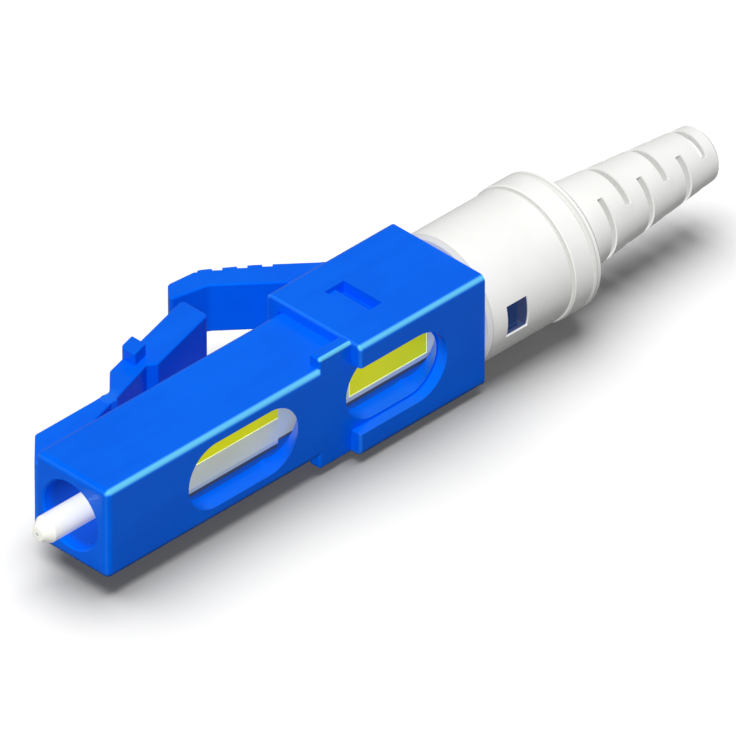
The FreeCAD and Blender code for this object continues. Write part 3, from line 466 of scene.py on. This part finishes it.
@dataclass(frozen=True)
class SatinBlue:
    """The blue moulded plastic of both housings, the latch and the trigger."""

    name: str
    deep: Colour = (0.0, 0.127, 0.885)
    fresh: Colour = (0.0, 0.147, 0.955)
    pale: Colour = (0.16, 0.66, 1.0)
    dark: Colour = (0.016, 0.046, 0.20)
    dark_from: Optional[float] = None
    dark_fade: float = 0.02
    scratches: Tuple[float, float] = (0.66, 0.74)
    scratch_share: float = 0.04
    ring_height: float = 8.0
    roughness: float = 0.24
    specular: float = 0.30
    tint: Colour = (0.02, 0.50, 1.0)
    grain: float = 0.0012
    edges: Tuple[EdgeHighlight, ...] = ()
    cavity: Optional[Cavity] = None
    pins: Tuple[PinMark, ...] = ()
    bends: Tuple[Bend, ...] = ()

    def unlit(self, recipe: Recipe) -> Term:
        """Where the plastic lies out of the light: in the cavity and on the tail.

        Args:
            recipe: The material.

        Returns:
            The mask, or 0 where the piece has neither.
        """
        masks = []
        if self.dark_from is not None:
            x, _, _ = recipe.coordinates()
            masks.append(recipe.ease(x, self.dark_from, self.dark_from + self.dark_fade))
        if self.cavity:
            masks.append(self.cavity.mask(recipe))
        return sum(masks)

    def material(self) -> bpy.types.Material:
        """Builds the material.

        Returns:
            The material.
        """
        recipe = Recipe(self.name)
        streaks = recipe.place(scale=(0.12, 1.3, 1.3), turn=(0.0, 0.0, 4.0))
        rubs = recipe.place(scale=(0.9, 14.0, 14.0), turn=(12.0, 7.0, 9.0))
        cloud = recipe.noise(recipe.place(), scale=0.22, detail=3.0, rough=0.55)
        flow = recipe.noise(streaks, scale=1.0, detail=4.0, rough=0.6)
        grain = recipe.noise(recipe.place(), scale=9.0, detail=3.0, rough=0.65)
        rub = recipe.noise(rubs, scale=1.0, detail=5.0, rough=0.7)
        scratch = recipe.ease(rub, *self.scratches)
        # Painted highlight on the rounded edges, together with the real stress whitening at the
        # bending roots; both blend towards the pale colour below.
        highlight_and_whitening = sum(part.mask(recipe) for part in self.edges + self.bends)
        marks = sum(pin.mask(recipe) for pin in self.pins)
        tone = recipe.ease(cloud * 0.6 + flow * 0.4, 0.34, 0.66)
        colour = recipe.blend(tone, self.deep, self.fresh)
        colour = recipe.blend(scratch * self.scratch_share, colour, self.pale)
        colour = recipe.blend(highlight_and_whitening * (0.75 + flow * 0.4), colour, self.pale)
        colour = recipe.blend(self.unlit(recipe), colour, self.dark)
        rough = self.roughness + (flow - 0.5) * 0.10 + (grain - 0.5) * 0.05
        rough = rough + scratch * 0.10 + marks * 0.1
        height = grain * 0.7 + scratch * 0.5 + marks * self.ring_height
        return recipe.finish(
            Base_Color=colour,
            Roughness=rough,
            Normal=recipe.bump(height, self.grain),
            Specular_IOR_Level=self.specular,
            Specular_Tint=self.tint,
            IOR=PLASTIC_IOR,
        )


@dataclass(frozen=True)
class TurnedSkin:
    """A stretch of a turned outside that slots or windows are cut in; the plastic sunk below it
    gets painted shade.
    """

    start: float
    end: float
    radius: float
    end_radius: float
    end_fade: float = 0.02
    depth_fade: Tuple[float, float] = (0.05, 0.14)

    def sunk(self, recipe: Recipe, x: Wire, reach: Wire) -> Wire:
        """Where the plastic lies below its outside.

        Args:
            recipe: The material.
            x: Place along the axis.
            reach: Distance from the axis.

        Returns:
            1 there and 0 on the outside.
        """
        slope = (self.end_radius - self.radius) / (self.end - self.start)
        below = (x - self.start) * slope + self.radius - reach
        span = recipe.ease(x, self.start, self.start + self.end_fade)
        span = span * recipe.ease(x, self.end, self.end - self.end_fade)
        return recipe.ease(below, *self.depth_fade) * span


@dataclass(frozen=True)
class Seam:
    """A seam round the boot, darkened with painted shade."""

    middle: float
    half: float
    core_share: float = 0.7

    def mask(self, recipe: Recipe, x: Wire) -> Wire:
        """Rises to 1 in the seam, from the place along the axis."""
        return recipe.ease(abs(x - self.middle), self.half, self.half * self.core_share)


@dataclass(frozen=True)
class WhitePlastic:
    """The white plastic of the boot: gloss on the sleeve, softer on the strain relief."""

    name: str
    light: Colour
    shade: Colour
    roughness: float
    specular: float
    grain: float
    skin: TurnedSkin
    seams: Tuple[Seam, ...]
    # Emission strength: painted light that lifts the boot's shaded sides.
    painted_glow: float = 0.09
    specks: Tuple[float, float] = (0.70, 0.78)
    scuffs: Tuple[float, float] = (0.66, 0.76)
    inside: Tuple[float, float] = (1.95, 1.10)
    darkening: float = 0.25
    recess_shade: Colour = (0.62, 0.62, 0.61)
    seam_shade: Colour = (0.50, 0.50, 0.48)
    seam_shade_share: float = 0.6

    def material(self) -> bpy.types.Material:
        """Builds the material.

        Returns:
            The material.
        """
        recipe = Recipe(self.name)
        x, y, z = recipe.coordinates()
        rubs = recipe.place(scale=(0.8, 10.0, 10.0), turn=(5.0, 3.0, 6.0))
        cloud = recipe.noise(recipe.place(), scale=0.30, detail=3.0, rough=0.6)
        grain = recipe.noise(recipe.place(), scale=7.0, detail=4.0, rough=0.7)
        dots = recipe.noise(recipe.place(), scale=3.1, detail=2.0, rough=0.5)
        rub = recipe.noise(rubs, scale=1.0, detail=5.0, rough=0.7)
        speck = recipe.ease(dots, *self.specks)
        scuff = recipe.ease(rub, *self.scuffs)
        reach = recipe.reach(y, z)
        inner = recipe.ease(reach, *self.inside)
        seam_shading = sum(seam.mask(recipe, x) for seam in self.seams)
        # Dust specks, and a darker tone towards the axis inside the bore.
        darker_tone = tuple(channel * 0.80 for channel in self.shade)
        colour = recipe.blend(recipe.ease(cloud, 0.35, 0.65), self.shade, self.light)
        colour = recipe.blend((speck * 0.35 + inner * 0.5) * self.darkening, colour, darker_tone)
        # Painted shade: below the turned outside, in the slots and the windows, the plastic takes
        # the recess shade colour.
        colour = recipe.blend(self.skin.sunk(recipe, x, reach), colour, self.recess_shade)
        # Painted shade in the seams and grooves round the boot.
        colour = recipe.blend(seam_shading * self.seam_shade_share, colour, self.seam_shade)
        rough = self.roughness + (cloud - 0.5) * 0.12 + (grain - 0.5) * 0.06 - scuff * 0.08
        height = grain * 0.8 - scuff * 0.4
        # The emission below is painted light: the plastic glows a little although it is no lamp.
        return recipe.finish(
            Base_Color=colour,
            Emission_Color=colour,
            Emission_Strength=self.painted_glow,
            Roughness=rough,
            Normal=recipe.bump(height, self.grain),
            Specular_IOR_Level=self.specular,
            IOR=PLASTIC_IOR,
        )


@dataclass(frozen=True)
class InnerPlastic:
    """A plain moulded plastic of the splice: base, lids and collet."""

    name: str
    light: Colour
    shade: Colour
    roughness: float
    grain: float = 0.003
    specks: Tuple[float, float] = (0.60, 0.72)
    speckle: float = 0.15
    # Emission strength: painted light that brightens the splice seen through the windows.
    painted_glow: float = 0.0
    specular: float = 0.35
    skirt: Optional[float] = None
    skirt_fade: float = 0.06
    skirt_share: float = 0.9
    skirt_shadow: Colour = (0.020, 0.045, 0.075)

    def material(self) -> bpy.types.Material:
        """Builds the material.

        Returns:
            The material.
        """
        recipe = Recipe(self.name)
        drawn = recipe.place(scale=(0.5, 1.6, 1.6))
        cloud = recipe.noise(drawn, scale=0.8, detail=3.0, rough=0.6)
        grain = recipe.noise(recipe.place(), scale=11.0, detail=3.0, rough=0.7)
        dots = recipe.noise(recipe.place(), scale=16.0, detail=1.0, rough=0.5)
        speck = recipe.ease(dots, *self.specks)
        darker = tuple(channel * 0.62 for channel in self.shade)
        colour = recipe.blend(recipe.ease(cloud, 0.30, 0.70), self.shade, self.light)
        colour = recipe.blend(speck * self.speckle, colour, darker)
        # Painted shadow: below the skirt height the plastic darkens to a near-black blue, where
        # the pads' low band lies in shade.
        if self.skirt is not None:
            _, _, z = recipe.coordinates()
            below = recipe.ease(z, self.skirt, self.skirt - self.skirt_fade)
            colour = recipe.blend(below * self.skirt_share, colour, self.skirt_shadow)
        rough = self.roughness + (cloud - 0.5) * 0.15 + (grain - 0.5) * 0.08
        # The emission below is painted light.
        return recipe.finish(
            Base_Color=colour,
            Roughness=rough,
            Emission_Color=colour,
            Emission_Strength=self.painted_glow,
            Normal=recipe.bump(grain, self.grain),
            Specular_IOR_Level=self.specular,
            IOR=PLASTIC_IOR,
        )


@dataclass(frozen=True)
class GroundCeramic:
    """White zirconia, ground round on its outside and polished at its tip."""

    name: str
    tip: float
    tip_fade: Tuple[float, float] = (0.12, 0.04)
    bright: Colour = (0.955, 0.955, 0.89)
    shade: Colour = (0.90, 0.895, 0.83)
    epoxy: Colour = (0.62, 0.55, 0.42)
    epoxy_radius: float = 0.075
    epoxy_line: Tuple[float, float] = (0.030, 0.010)
    polished: float = 0.06
    ground: float = 0.17
    grain: float = 0.0006
    # Emission strength: painted light that keeps the ferrule bright white.
    painted_glow: float = 0.25

    def material(self) -> bpy.types.Material:
        """Builds the material.

        Returns:
            The material.
        """
        recipe = Recipe(self.name)
        x, y, z = recipe.coordinates()
        rings = recipe.place(scale=(26.0, 0.6, 0.6))
        lines = recipe.noise(rings, scale=1.0, detail=3.0, rough=0.6)
        cloud = recipe.noise(recipe.place(), scale=1.2, detail=2.0, rough=0.5)
        start, end = (self.tip + fade for fade in self.tip_fade)
        face = recipe.ease(x, start, end)
        away = abs(recipe.reach(y, z) - self.epoxy_radius)
        epoxy = recipe.ease(away, *self.epoxy_line) * face
        colour = recipe.blend(cloud, self.shade, self.bright)
        colour = recipe.blend(epoxy * 0.5, colour, self.epoxy)
        rough = recipe.ease(lines, 0.25, 0.75) * 0.08 + self.ground
        rough = rough * (1.0 - face) + face * self.polished
        # The emission below is painted light.
        return recipe.finish(
            Base_Color=colour,
            Roughness=rough,
            Emission_Color=colour,
            Emission_Strength=self.painted_glow,
            Normal=recipe.bump(lines * (1.0 - face), self.grain),
            IOR=CERAMIC_IOR,
        )


@dataclass(frozen=True)
class BareGlass:
    """The bare silica fibre, with its faintly brighter core."""

    name: str
    cladding: Colour = (0.55, 0.66, 0.74)
    core: Colour = (0.93, 0.97, 1.0)
    core_edge: Tuple[float, float] = (0.016, 0.008)
    roughness: float = 0.03
    smears: float = 0.06
    transmission: float = 0.55

    def material(self) -> bpy.types.Material:
        """Builds the material.

        Returns:
            The material.
        """
        recipe = Recipe(self.name)
        _, y, z = recipe.coordinates()
        core = recipe.ease(recipe.reach(y, z), *self.core_edge)
        drawn = recipe.place(scale=(0.6, 20.0, 20.0))
        smear = recipe.noise(drawn, scale=1.0, detail=2.0, rough=0.5)
        return recipe.finish(
            Base_Color=recipe.blend(core, self.cladding, self.core),
            Roughness=smear * self.smears + self.roughness,
            Transmission_Weight=self.transmission,
            IOR=SILICA_IOR,
        )


@dataclass(frozen=True)
class TurnedMetal:
    """Bright metal with the fine lines of its making along or round the plug's axis."""

    name: str
    bright: Colour
    dull: Colour
    roughness: float
    lines: Place = (30.0, 0.7, 0.7)
    depth: float = 0.0015

    def material(self) -> bpy.types.Material:
        """Builds the material.

        Returns:
            The material.
        """
        recipe = Recipe(self.name)
        lines = recipe.noise(recipe.place(self.lines), scale=1.0, detail=4.0, rough=0.6)
        cloud = recipe.noise(recipe.place(), scale=1.5, detail=3.0, rough=0.6)
        stain = recipe.ease(cloud, 0.55, 0.75)
        colour = recipe.blend(lines * 0.5 + stain * 0.4, self.bright, self.dull)
        rough = self.roughness + (lines - 0.5) * 0.16 + stain * 0.10
        return recipe.finish(
            Base_Color=colour,
            Metallic=1.0,
            Roughness=rough,
            Normal=recipe.bump(lines, self.depth),
        )


# ---- Shapes ------------------------------------------------------------------------------
class Blank:
    """A mesh being shaped in millimetres, which becomes one piece of the plug."""

    def __init__(self) -> None:
        """Starts an empty mesh."""
        self.mesh = bmesh.new()

    def bar(self, low: Place, high: Place) -> "Blank":
        """Adds a bar between two corners.

        Args:
            low: Lowest corner.
            high: Highest corner.

        Returns:
            The blank.
        """
        first, last = Vector(low), Vector(high)
        size = Matrix.Diagonal((*(last - first), 1.0))
        middle = Matrix.Translation((first + last) / 2)
        bmesh.ops.create_cube(self.mesh, size=1.0, matrix=middle @ size)
        return self

    def sheet(self, half: float) -> "Blank":
        """Adds a flat square sheet, given half its side."""
        bmesh.ops.create_grid(self.mesh, x_segments=2, y_segments=2, size=half)
        return self

    def long_edges(self) -> List[bmesh.types.BMEdge]:
        """The edges that run along X."""
        runs = {edge: edge.verts[1].co - edge.verts[0].co for edge in self.mesh.edges}
        return [edge for edge, run in runs.items() if abs(run.normalized().x) > PARALLEL]

    def round_long_edges(self, radius: float) -> "Blank":
        """Rounds the edges that run along X.

        Args:
            radius: Radius of the rounding.

        Returns:
            The blank.
        """
        bmesh.ops.bevel(
            self.mesh, geom=self.long_edges(), offset=radius, segments=ROUNDING_STEPS,
            profile=0.5, affect="EDGES", material=-1,
        )
        return self

    def divide(self, cuts: int) -> "Blank":
        """Divides the edges that run along X, so that the mesh can bend there.

        Args:
            cuts: Cuts across each of them.

        Returns:
            The blank.
        """
        bmesh.ops.subdivide_edges(
            self.mesh, edges=self.long_edges(), cuts=cuts, use_grid_fill=True
        )
        return self

    def open_ends(self) -> "Blank":
        """Takes off the end faces square to X, where the skin meets its neighbours.

        Returns:
            The blank.
        """
        ends = [face for face in self.mesh.faces if abs(face.normal.x) > PARALLEL]
        bmesh.ops.delete(self.mesh, geom=ends, context="FACES_ONLY")
        return self

    def move(self, matrix: Matrix) -> "Blank":
        """Moves every vertex."""
        bmesh.ops.transform(self.mesh, matrix=matrix, verts=self.mesh.verts)
        return self

    def coil(self, front: float, length: float, radius: float, wire: float, turns: int) -> "Blank":
        """Adds a wire coiled about the plug's axis.

        Args:
            front: Where the wire's middle starts along the axis.
            length: How far it runs along the axis.
            radius: From the axis to the wire's middle.
            wire: Radius of the wire.
            turns: Turns that it makes.

        Returns:
            The blank.
        """
        steps = turns * COIL_STEPS
        upright = Matrix.Rotation(math.radians(90.0), 4, "X")
        bmesh.ops.create_circle(
            self.mesh, cap_ends=False, segments=WIRE_SIDES, radius=wire,
            matrix=Matrix.Translation((front, 0.0, -radius)) @ upright,
        )
        bmesh.ops.spin(
            self.mesh, geom=list(self.mesh.verts) + list(self.mesh.edges), cent=(0.0, 0.0, 0.0),
            axis=(1.0, 0.0, 0.0), dvec=(length / steps, 0.0, 0.0),
            angle=math.radians(360.0 * turns), steps=steps, use_merge=False,
        )
        rims = [edge for edge in self.mesh.edges if edge.is_boundary]
        bmesh.ops.holes_fill(self.mesh, edges=rims, sides=0)
        return self

    def piece(self, name: str, material: bpy.types.Material) -> bpy.types.Object:
        """Makes the piece, smooth where its faces nearly agree.

        Args:
            name: Its name.
            material: Its finish.

        Returns:
            The object, at the origin, in metres.
        """
        bmesh.ops.recalc_face_normals(self.mesh, faces=self.mesh.faces)
        bmesh.ops.scale(self.mesh, vec=(MM, MM, MM), verts=self.mesh.verts)
        for face in self.mesh.faces:
            face.smooth = True
        for edge in self.mesh.edges:
            soft = edge.calc_face_angle(0.0) < math.radians(SMOOTH_ANGLE)
            edge.smooth = len(edge.link_faces) == 2 and soft
        data = bpy.data.meshes.new(name)
        self.mesh.to_mesh(data)
        self.mesh.free()
        data.materials.append(material)
        made = bpy.data.objects.new(name, data)
        bpy.context.scene.collection.objects.link(made)
        return made


def dress(node: str, material: bpy.types.Material) -> None:
    """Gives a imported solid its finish.

    Args:
        node: The solid's node.
        material: The finish.
    """
    thing = bpy.data.objects[node]
    if not thing.material_slots:
        thing.data.materials.append(material)
    for slot in thing.material_slots:
        slot.material = material
    LOG.info("dressed %s in %s", node, material.name)


@dataclass(frozen=True)
class BendingRoot:
    """The thin moulded root that a part bends at: a skin round the knuckle on its hinge.

    Its sizes are along, out from and across the part, from the hinge.
    """

    name: str
    body: Body
    start: float
    end: float
    inner: float
    outer: float
    width: float
    bend: Tuple[float, float]
    proud: float = 0.008
    edge: float = 0.08

    def build(self, place: Matrix, material: bpy.types.Material) -> bpy.types.Object:
        """Builds the root.

        Args:
            place: Takes the root's own directions to the plug's frame.
            material: Its finish.

        Returns:
            The piece.
        """
        wide = self.width / 2 + self.proud
        low = (self.start, -self.inner - self.proud, -wide)
        high = (self.end, self.outer + self.proud, wide)
        blank = Blank().bar(low, high).round_long_edges(self.edge)
        blank.open_ends().divide(ROOT_CUTS).move(place)
        made = blank.piece(self.name, material)
        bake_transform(made)
        LOG.info("built %s", made.name)
        return made


# ---- Sub-assemblies ----------------------------------------------------------------------
@dataclass
class Housings:
    """The nose and the rear housing."""

    side: float = 2.25
    top: float = 2.10
    bottom: float = 2.25
    wing_side: float = 2.83
    wing_top: float = -1.60
    wing_front: float = 12.50
    shell_front: float = 14.35
    shell_back: float = 21.74
    shell_side: float = 2.85
    shell_top: float = 2.84
    shell_bottom: float = 2.85
    tail_start: float = 21.80
    cavity: Cavity = Cavity(side=1.65, top=1.45, bottom=1.25, start=3.60)
    nose_pins: Tuple[PinMark, ...] = (PinMark(3.4, 0.0, -2.25), PinMark(12.0, 0.9, -2.25))
    shell_pins: Tuple[PinMark, ...] = (PinMark(20.2, 0.8, -2.85), PinMark(20.2, -1.5, -2.85))
    trigger_bend: Bend = Bend(*TRIGGER_HINGE, reach=1.2)

    def dress(self) -> None:
        """Gives both housings their blue plastic."""
        # Painted highlights on the rounded edges of the nose, its wings and the shell.
        nose_highlight = EdgeHighlight(self.side, self.top, self.bottom, 0.0, self.wing_front)
        wing_highlight = EdgeHighlight(
            self.wing_side, self.wing_top, self.bottom, self.wing_front, self.shell_front,
            reach=0.20, rim_share=0.0,
        )
        shell_highlight = EdgeHighlight(
            self.shell_side, self.shell_top, self.shell_bottom, self.shell_front, self.shell_back
        )
        nose = SatinBlue(
            "nose_blue", edges=(nose_highlight, wing_highlight), cavity=self.cavity, pins=self.nose_pins
        )
        shell = SatinBlue(
            "shell_blue", edges=(shell_highlight,), pins=self.shell_pins, bends=(self.trigger_bend,),
            dark_from=self.tail_start,
        )
        dress("plug_housing", nose.material())
        dress("rear_housing", shell.material())


@dataclass
class Latch:
    """The latch arm and the thin moulded root that joins it to the nose."""

    hinge: Tuple[float, float] = LATCH_HINGE
    root: BendingRoot = BendingRoot(
        "latch_root", Body.LATCH, start=-0.29, end=0.25, inner=0.32, outer=0.32, width=3.40,
        bend=(-0.16, 0.16),
    )
    finish: SatinBlue = SatinBlue("latch_blue", bends=(Bend(*LATCH_HINGE, reach=0.9),))

    def build(self) -> None:
        """Dresses the arm and builds the root."""
        material = self.finish.material()
        dress("latch_arm", material)
        self.root.build(Matrix.Translation((*self.hinge, 0.0)), material)


@dataclass
class Trigger:
    """The finger lever and the moulded root that joins it to the rear housing."""

    hinge: Tuple[float, float] = TRIGGER_HINGE
    slope: float = 41.0
    root: BendingRoot = BendingRoot(
        "trigger_root", Body.TRIGGER, start=-0.45, end=0.40, inner=0.67, outer=0.74, width=2.40,
        bend=(-0.22, 0.10),
    )
    finish: SatinBlue = SatinBlue("trigger_blue", bends=(Bend(*TRIGGER_HINGE, reach=1.2),))

    def lean(self) -> Matrix:
        """Takes a point given along, out from and across the lever to the plug's frame.

        Returns:
            The matrix.
        """
        angle = math.radians(self.slope)
        along = Vector((-math.cos(angle), math.sin(angle), 0.0))
        outward = Vector((math.sin(angle), math.cos(angle), 0.0))
        turn = Matrix((along, outward, (0.0, 0.0, -1.0))).transposed().to_4x4()
        return Matrix.Translation((*self.hinge, 0.0)) @ turn

    def build(self) -> None:
        """Dresses the lever and builds the root."""
        material = self.finish.material()
        dress("trigger_lever", material)
        self.root.build(self.lean(), material)


@dataclass
class FerruleGroup:
    """The ferrule, its fibre and its metal flange."""

    tip: float = -1.90
    metal: Colour = (0.78, 0.77, 0.74)
    metal_shade: Colour = (0.52, 0.51, 0.50)

    def dress(self) -> None:
        """Gives the three their finishes."""
        flange = TurnedMetal("turned_flange", self.metal, self.metal_shade, roughness=0.27)
        dress("ferrule", GroundCeramic("zirconia_white", self.tip).material())
        dress("fibre_stub", BareGlass("silica").material())
        dress("ferrule_flange", flange.material())


@dataclass
class Splice:
    """The grooved base, its two lids and their clips."""

    grey: Colour = (0.86, 0.90, 0.70)
    grey_shade: Colour = (0.79, 0.83, 0.64)
    yellow: Colour = (0.93, 0.94, 0.014)
    yellow_shade: Colour = (0.87, 0.88, 0.010)
    steel: Colour = (0.66, 0.67, 0.69)
    steel_shade: Colour = (0.42, 0.43, 0.45)
    # Height below which the base's pads get a painted shadow.
    pad_skirt: float = -1.24

    def dress(self) -> None:
        """Gives every piece of the splice its finish."""
        # The base and the lids glow a little: painted light.
        base = InnerPlastic(
            "splice_grey", self.grey, self.grey_shade, roughness=0.42, painted_glow=0.05, specular=0.15,
            skirt=self.pad_skirt,
        )
        lid = InnerPlastic(
            "lid_yellow", self.yellow, self.yellow_shade, roughness=0.32, grain=0.002,
            speckle=0.08, painted_glow=0.17, specular=0.10,
        ).material()
        clip = TurnedMetal(
            "clip_steel", self.steel, self.steel_shade, roughness=0.30, lines=(0.8, 22.0, 22.0)
        ).material()
        dress("splice_base", base.material())
        dress("fibre_lid", lid)
        dress("buffer_lid", lid)
        dress("fibre_clip", clip)
        dress("buffer_clip", clip)


@dataclass
class Tail:
    """The spring and the collet inside the tail tube."""

    spring_front: float = 20.53
    spring_back: float = 23.84
    spring_radius: float = 1.00
    wire: float = 0.15
    turns: int = 6
    steel: Colour = (0.70, 0.70, 0.72)
    steel_shade: Colour = (0.46, 0.46, 0.48)
    grey: Colour = (0.30, 0.30, 0.32)
    grey_shade: Colour = (0.24, 0.24, 0.26)

    def spring(self) -> bpy.types.Object:
        """Winds the spring.

        Returns:
            The piece.
        """
        finish = TurnedMetal(
            "spring_wire", self.steel, self.steel_shade, roughness=0.24, lines=(14.0, 14.0, 14.0)
        )
        run = self.spring_back - self.spring_front
        blank = Blank().coil(self.spring_front, run, self.spring_radius, self.wire, self.turns)
        made = blank.piece("ferrule_coil", finish.material())
        (self.spring_back - self.wire) * MM
        (self.spring_front + self.wire) * MM
        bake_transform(made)
        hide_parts("ferrule_spring")
        return made

    def build(self) -> None:
        """Winds the spring and dresses the collet."""
        LOG.info("built %s", self.spring().name)
        collet = InnerPlastic("collet_grey", self.grey, self.grey_shade, roughness=0.45)
        dress("cord_collet", collet.material())


@dataclass
class Boot:
    """The rigid sleeve and the slotted strain relief."""

    light: Colour = (0.935, 0.935, 0.915)
    shade: Colour = (0.90, 0.90, 0.88)
    # Painted shade for the sunk walls of the sleeve's windows.
    window_shade: Colour = (0.05, 0.07, 0.17)
    windows: TurnedSkin = TurnedSkin(start=22.6, end=24.4, radius=3.12, end_radius=3.12)
    slots: TurnedSkin = TurnedSkin(start=28.55, end=37.35, radius=2.147, end_radius=1.345)
    sleeve_seams: Tuple[Seam, ...] = (Seam(21.79, 0.24), Seam(26.74, 0.10))
    relief_seams: Tuple[Seam, ...] = (Seam(28.08, 0.11),)

    def dress(self) -> None:
        """Gives both their white plastic."""
        sleeve = WhitePlastic(
            "sleeve_white", self.light, self.shade, roughness=0.28, specular=0.30, grain=0.0010,
            skin=self.windows, seams=self.sleeve_seams, recess_shade=self.window_shade,
        )
        relief = WhitePlastic(
            "relief_white", self.light, self.shade, roughness=0.46, specular=0.25, grain=0.0030,
            skin=self.slots, seams=self.relief_seams,
        )
        dress("boot_sleeve", sleeve.material())
        dress("strain_relief", relief.material())


# ---- Studio ------------------------------------------------------------------------------
@dataclass(frozen=True)
class Sun:
    """One of the studio's suns."""

    name: str
    source: Place
    strength: float
    angle: float
    floor: bool = False
    shadow: bool = False
    gloss: bool = True

    def build(self, floor: bpy.types.Object) -> None:
        """Adds the sun, which lights either the plug or the floor.

        Args:
            floor: The floor.
        """
        lamp = bpy.data.lights.new(self.name, "SUN")
        lamp.energy = self.strength
        lamp.angle = math.radians(self.angle)
        lamp.use_shadow = self.shadow
        holder = bpy.data.objects.new(self.name, lamp)
        holder.visible_glossy = self.gloss
        holder.rotation_euler = Vector(self.source).to_track_quat("Z", "Y").to_euler()
        bpy.context.scene.collection.objects.link(holder)
        lit = bpy.data.collections.new(self.name)
        lit.objects.link(floor)
        state = "INCLUDE" if self.floor else "EXCLUDE"
        lit.collection_objects[0].light_linking.link_state = state
        holder.light_linking.receiver_collection = lit


@dataclass
class Studio:
    """A white floor, the suns, an even sky and the camera."""

    target: Place = (16.31, -1.29, 0.03)
    frame_width: float = 30.98
    lens: float = 1200.0
    sensor: float = 36.0
    floor_half: float = 3000.0
    floor_level: float = -3.22
    floor_white: float = 0.25
    floor_bounce: float = 0.065
    sky: float = 0.22
    suns: Tuple[Sun, ...] = (
        Sun("key", (-0.48, -0.28, 0.80), strength=2.90, angle=6.0),
        Sun("back", (0.60, 0.75, -0.10), strength=0.55, angle=6.0, gloss=False),
        Sun("overhead", (0.05, 0.27, 1.0), strength=12.3, angle=66.0, floor=True, shadow=True),
        Sun("floor_fill", (0.0, 0.0, 1.0), strength=0.9, angle=6.0, floor=True),
    )

    def floor(self) -> bpy.types.Object:
        """Builds the floor.

        Returns:
            The floor.
        """
        recipe = Recipe("floor_white")
        seen = recipe.wire(recipe.add("ShaderNodeLightPath"), "Is Camera Ray")
        bounce = (self.floor_bounce,) * 3
        white = (self.floor_white,) * 3
        material = recipe.finish(
            Base_Color=recipe.blend(seen, bounce, white), Roughness=1.0, Specular_IOR_Level=0.0
        )
        blank = Blank().sheet(self.floor_half)
        blank.move(Matrix.Translation((0.0, 0.0, self.floor_level)))
        made = blank.piece("floor", material)
        LOG.info("built %s", made.name)
        return made

    def sky_light(self) -> None:
        """Lights the plug evenly, in front of a white background."""
        world = bpy.data.worlds.new("sky")
        bpy.context.scene.world = world
        nodes = Nodes(world)
        path = nodes.add("ShaderNodeLightPath")
        seen = nodes.wire(path, "Is Camera Ray") + nodes.wire(path, "Is Transmission Ray")
        limits = {"Value": seen, "To Min": self.sky, "To Max": 1.0}
        level = nodes.wire(nodes.add("ShaderNodeMapRange", inputs=limits))
        light = {"Color": (1.0, 1.0, 1.0), "Strength": level}
        background = nodes.wire(nodes.add("ShaderNodeBackground", inputs=light))
        nodes.add("ShaderNodeOutputWorld", inputs={"Surface": background})

    def camera(self) -> None:
        """Sets the camera at the angle of an isometric drawing, far away."""
        data = bpy.data.cameras.new("camera")
        data.lens = self.lens
        data.sensor_width = self.sensor
        distance = self.frame_width * MM * self.lens / self.sensor
        data.clip_start = distance / 10
        data.clip_end = distance * 10
        holder = bpy.data.objects.new("camera", data)
        right = Vector((1.0, -1.0, 0.0)).normalized()
        back = Vector((-1.0, -1.0, 1.0)).normalized()
        up = back.cross(right)
        turn = Matrix((right, up, back)).transposed().to_4x4()
        place = Vector(self.target) * MM + back * distance
        holder.matrix_world = Matrix.Translation(place) @ turn
        bpy.context.scene.collection.objects.link(holder)
        bpy.context.scene.camera = holder

    def build(self) -> None:
        """Builds the floor, the lights and the camera."""
        floor = self.floor()
        self.sky_light()
        for sun in self.suns:
            sun.build(floor)
        self.camera()
        bpy.context.scene.view_settings.view_transform = "Standard"
        LOG.info("built the lights and the camera")


def main() -> None:
    """Loads the solids, dresses them and builds the rest in order."""
    logging.basicConfig(level=logging.INFO, format="%(name)s: %(message)s")
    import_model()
    Studio().build()
    Housings().dress()
    Latch().build()
    Trigger().build()
    FerruleGroup().dress()
    Splice().dress()
    Tail().build()
    Boot().dress()


if __name__ == "__main__":
    main()
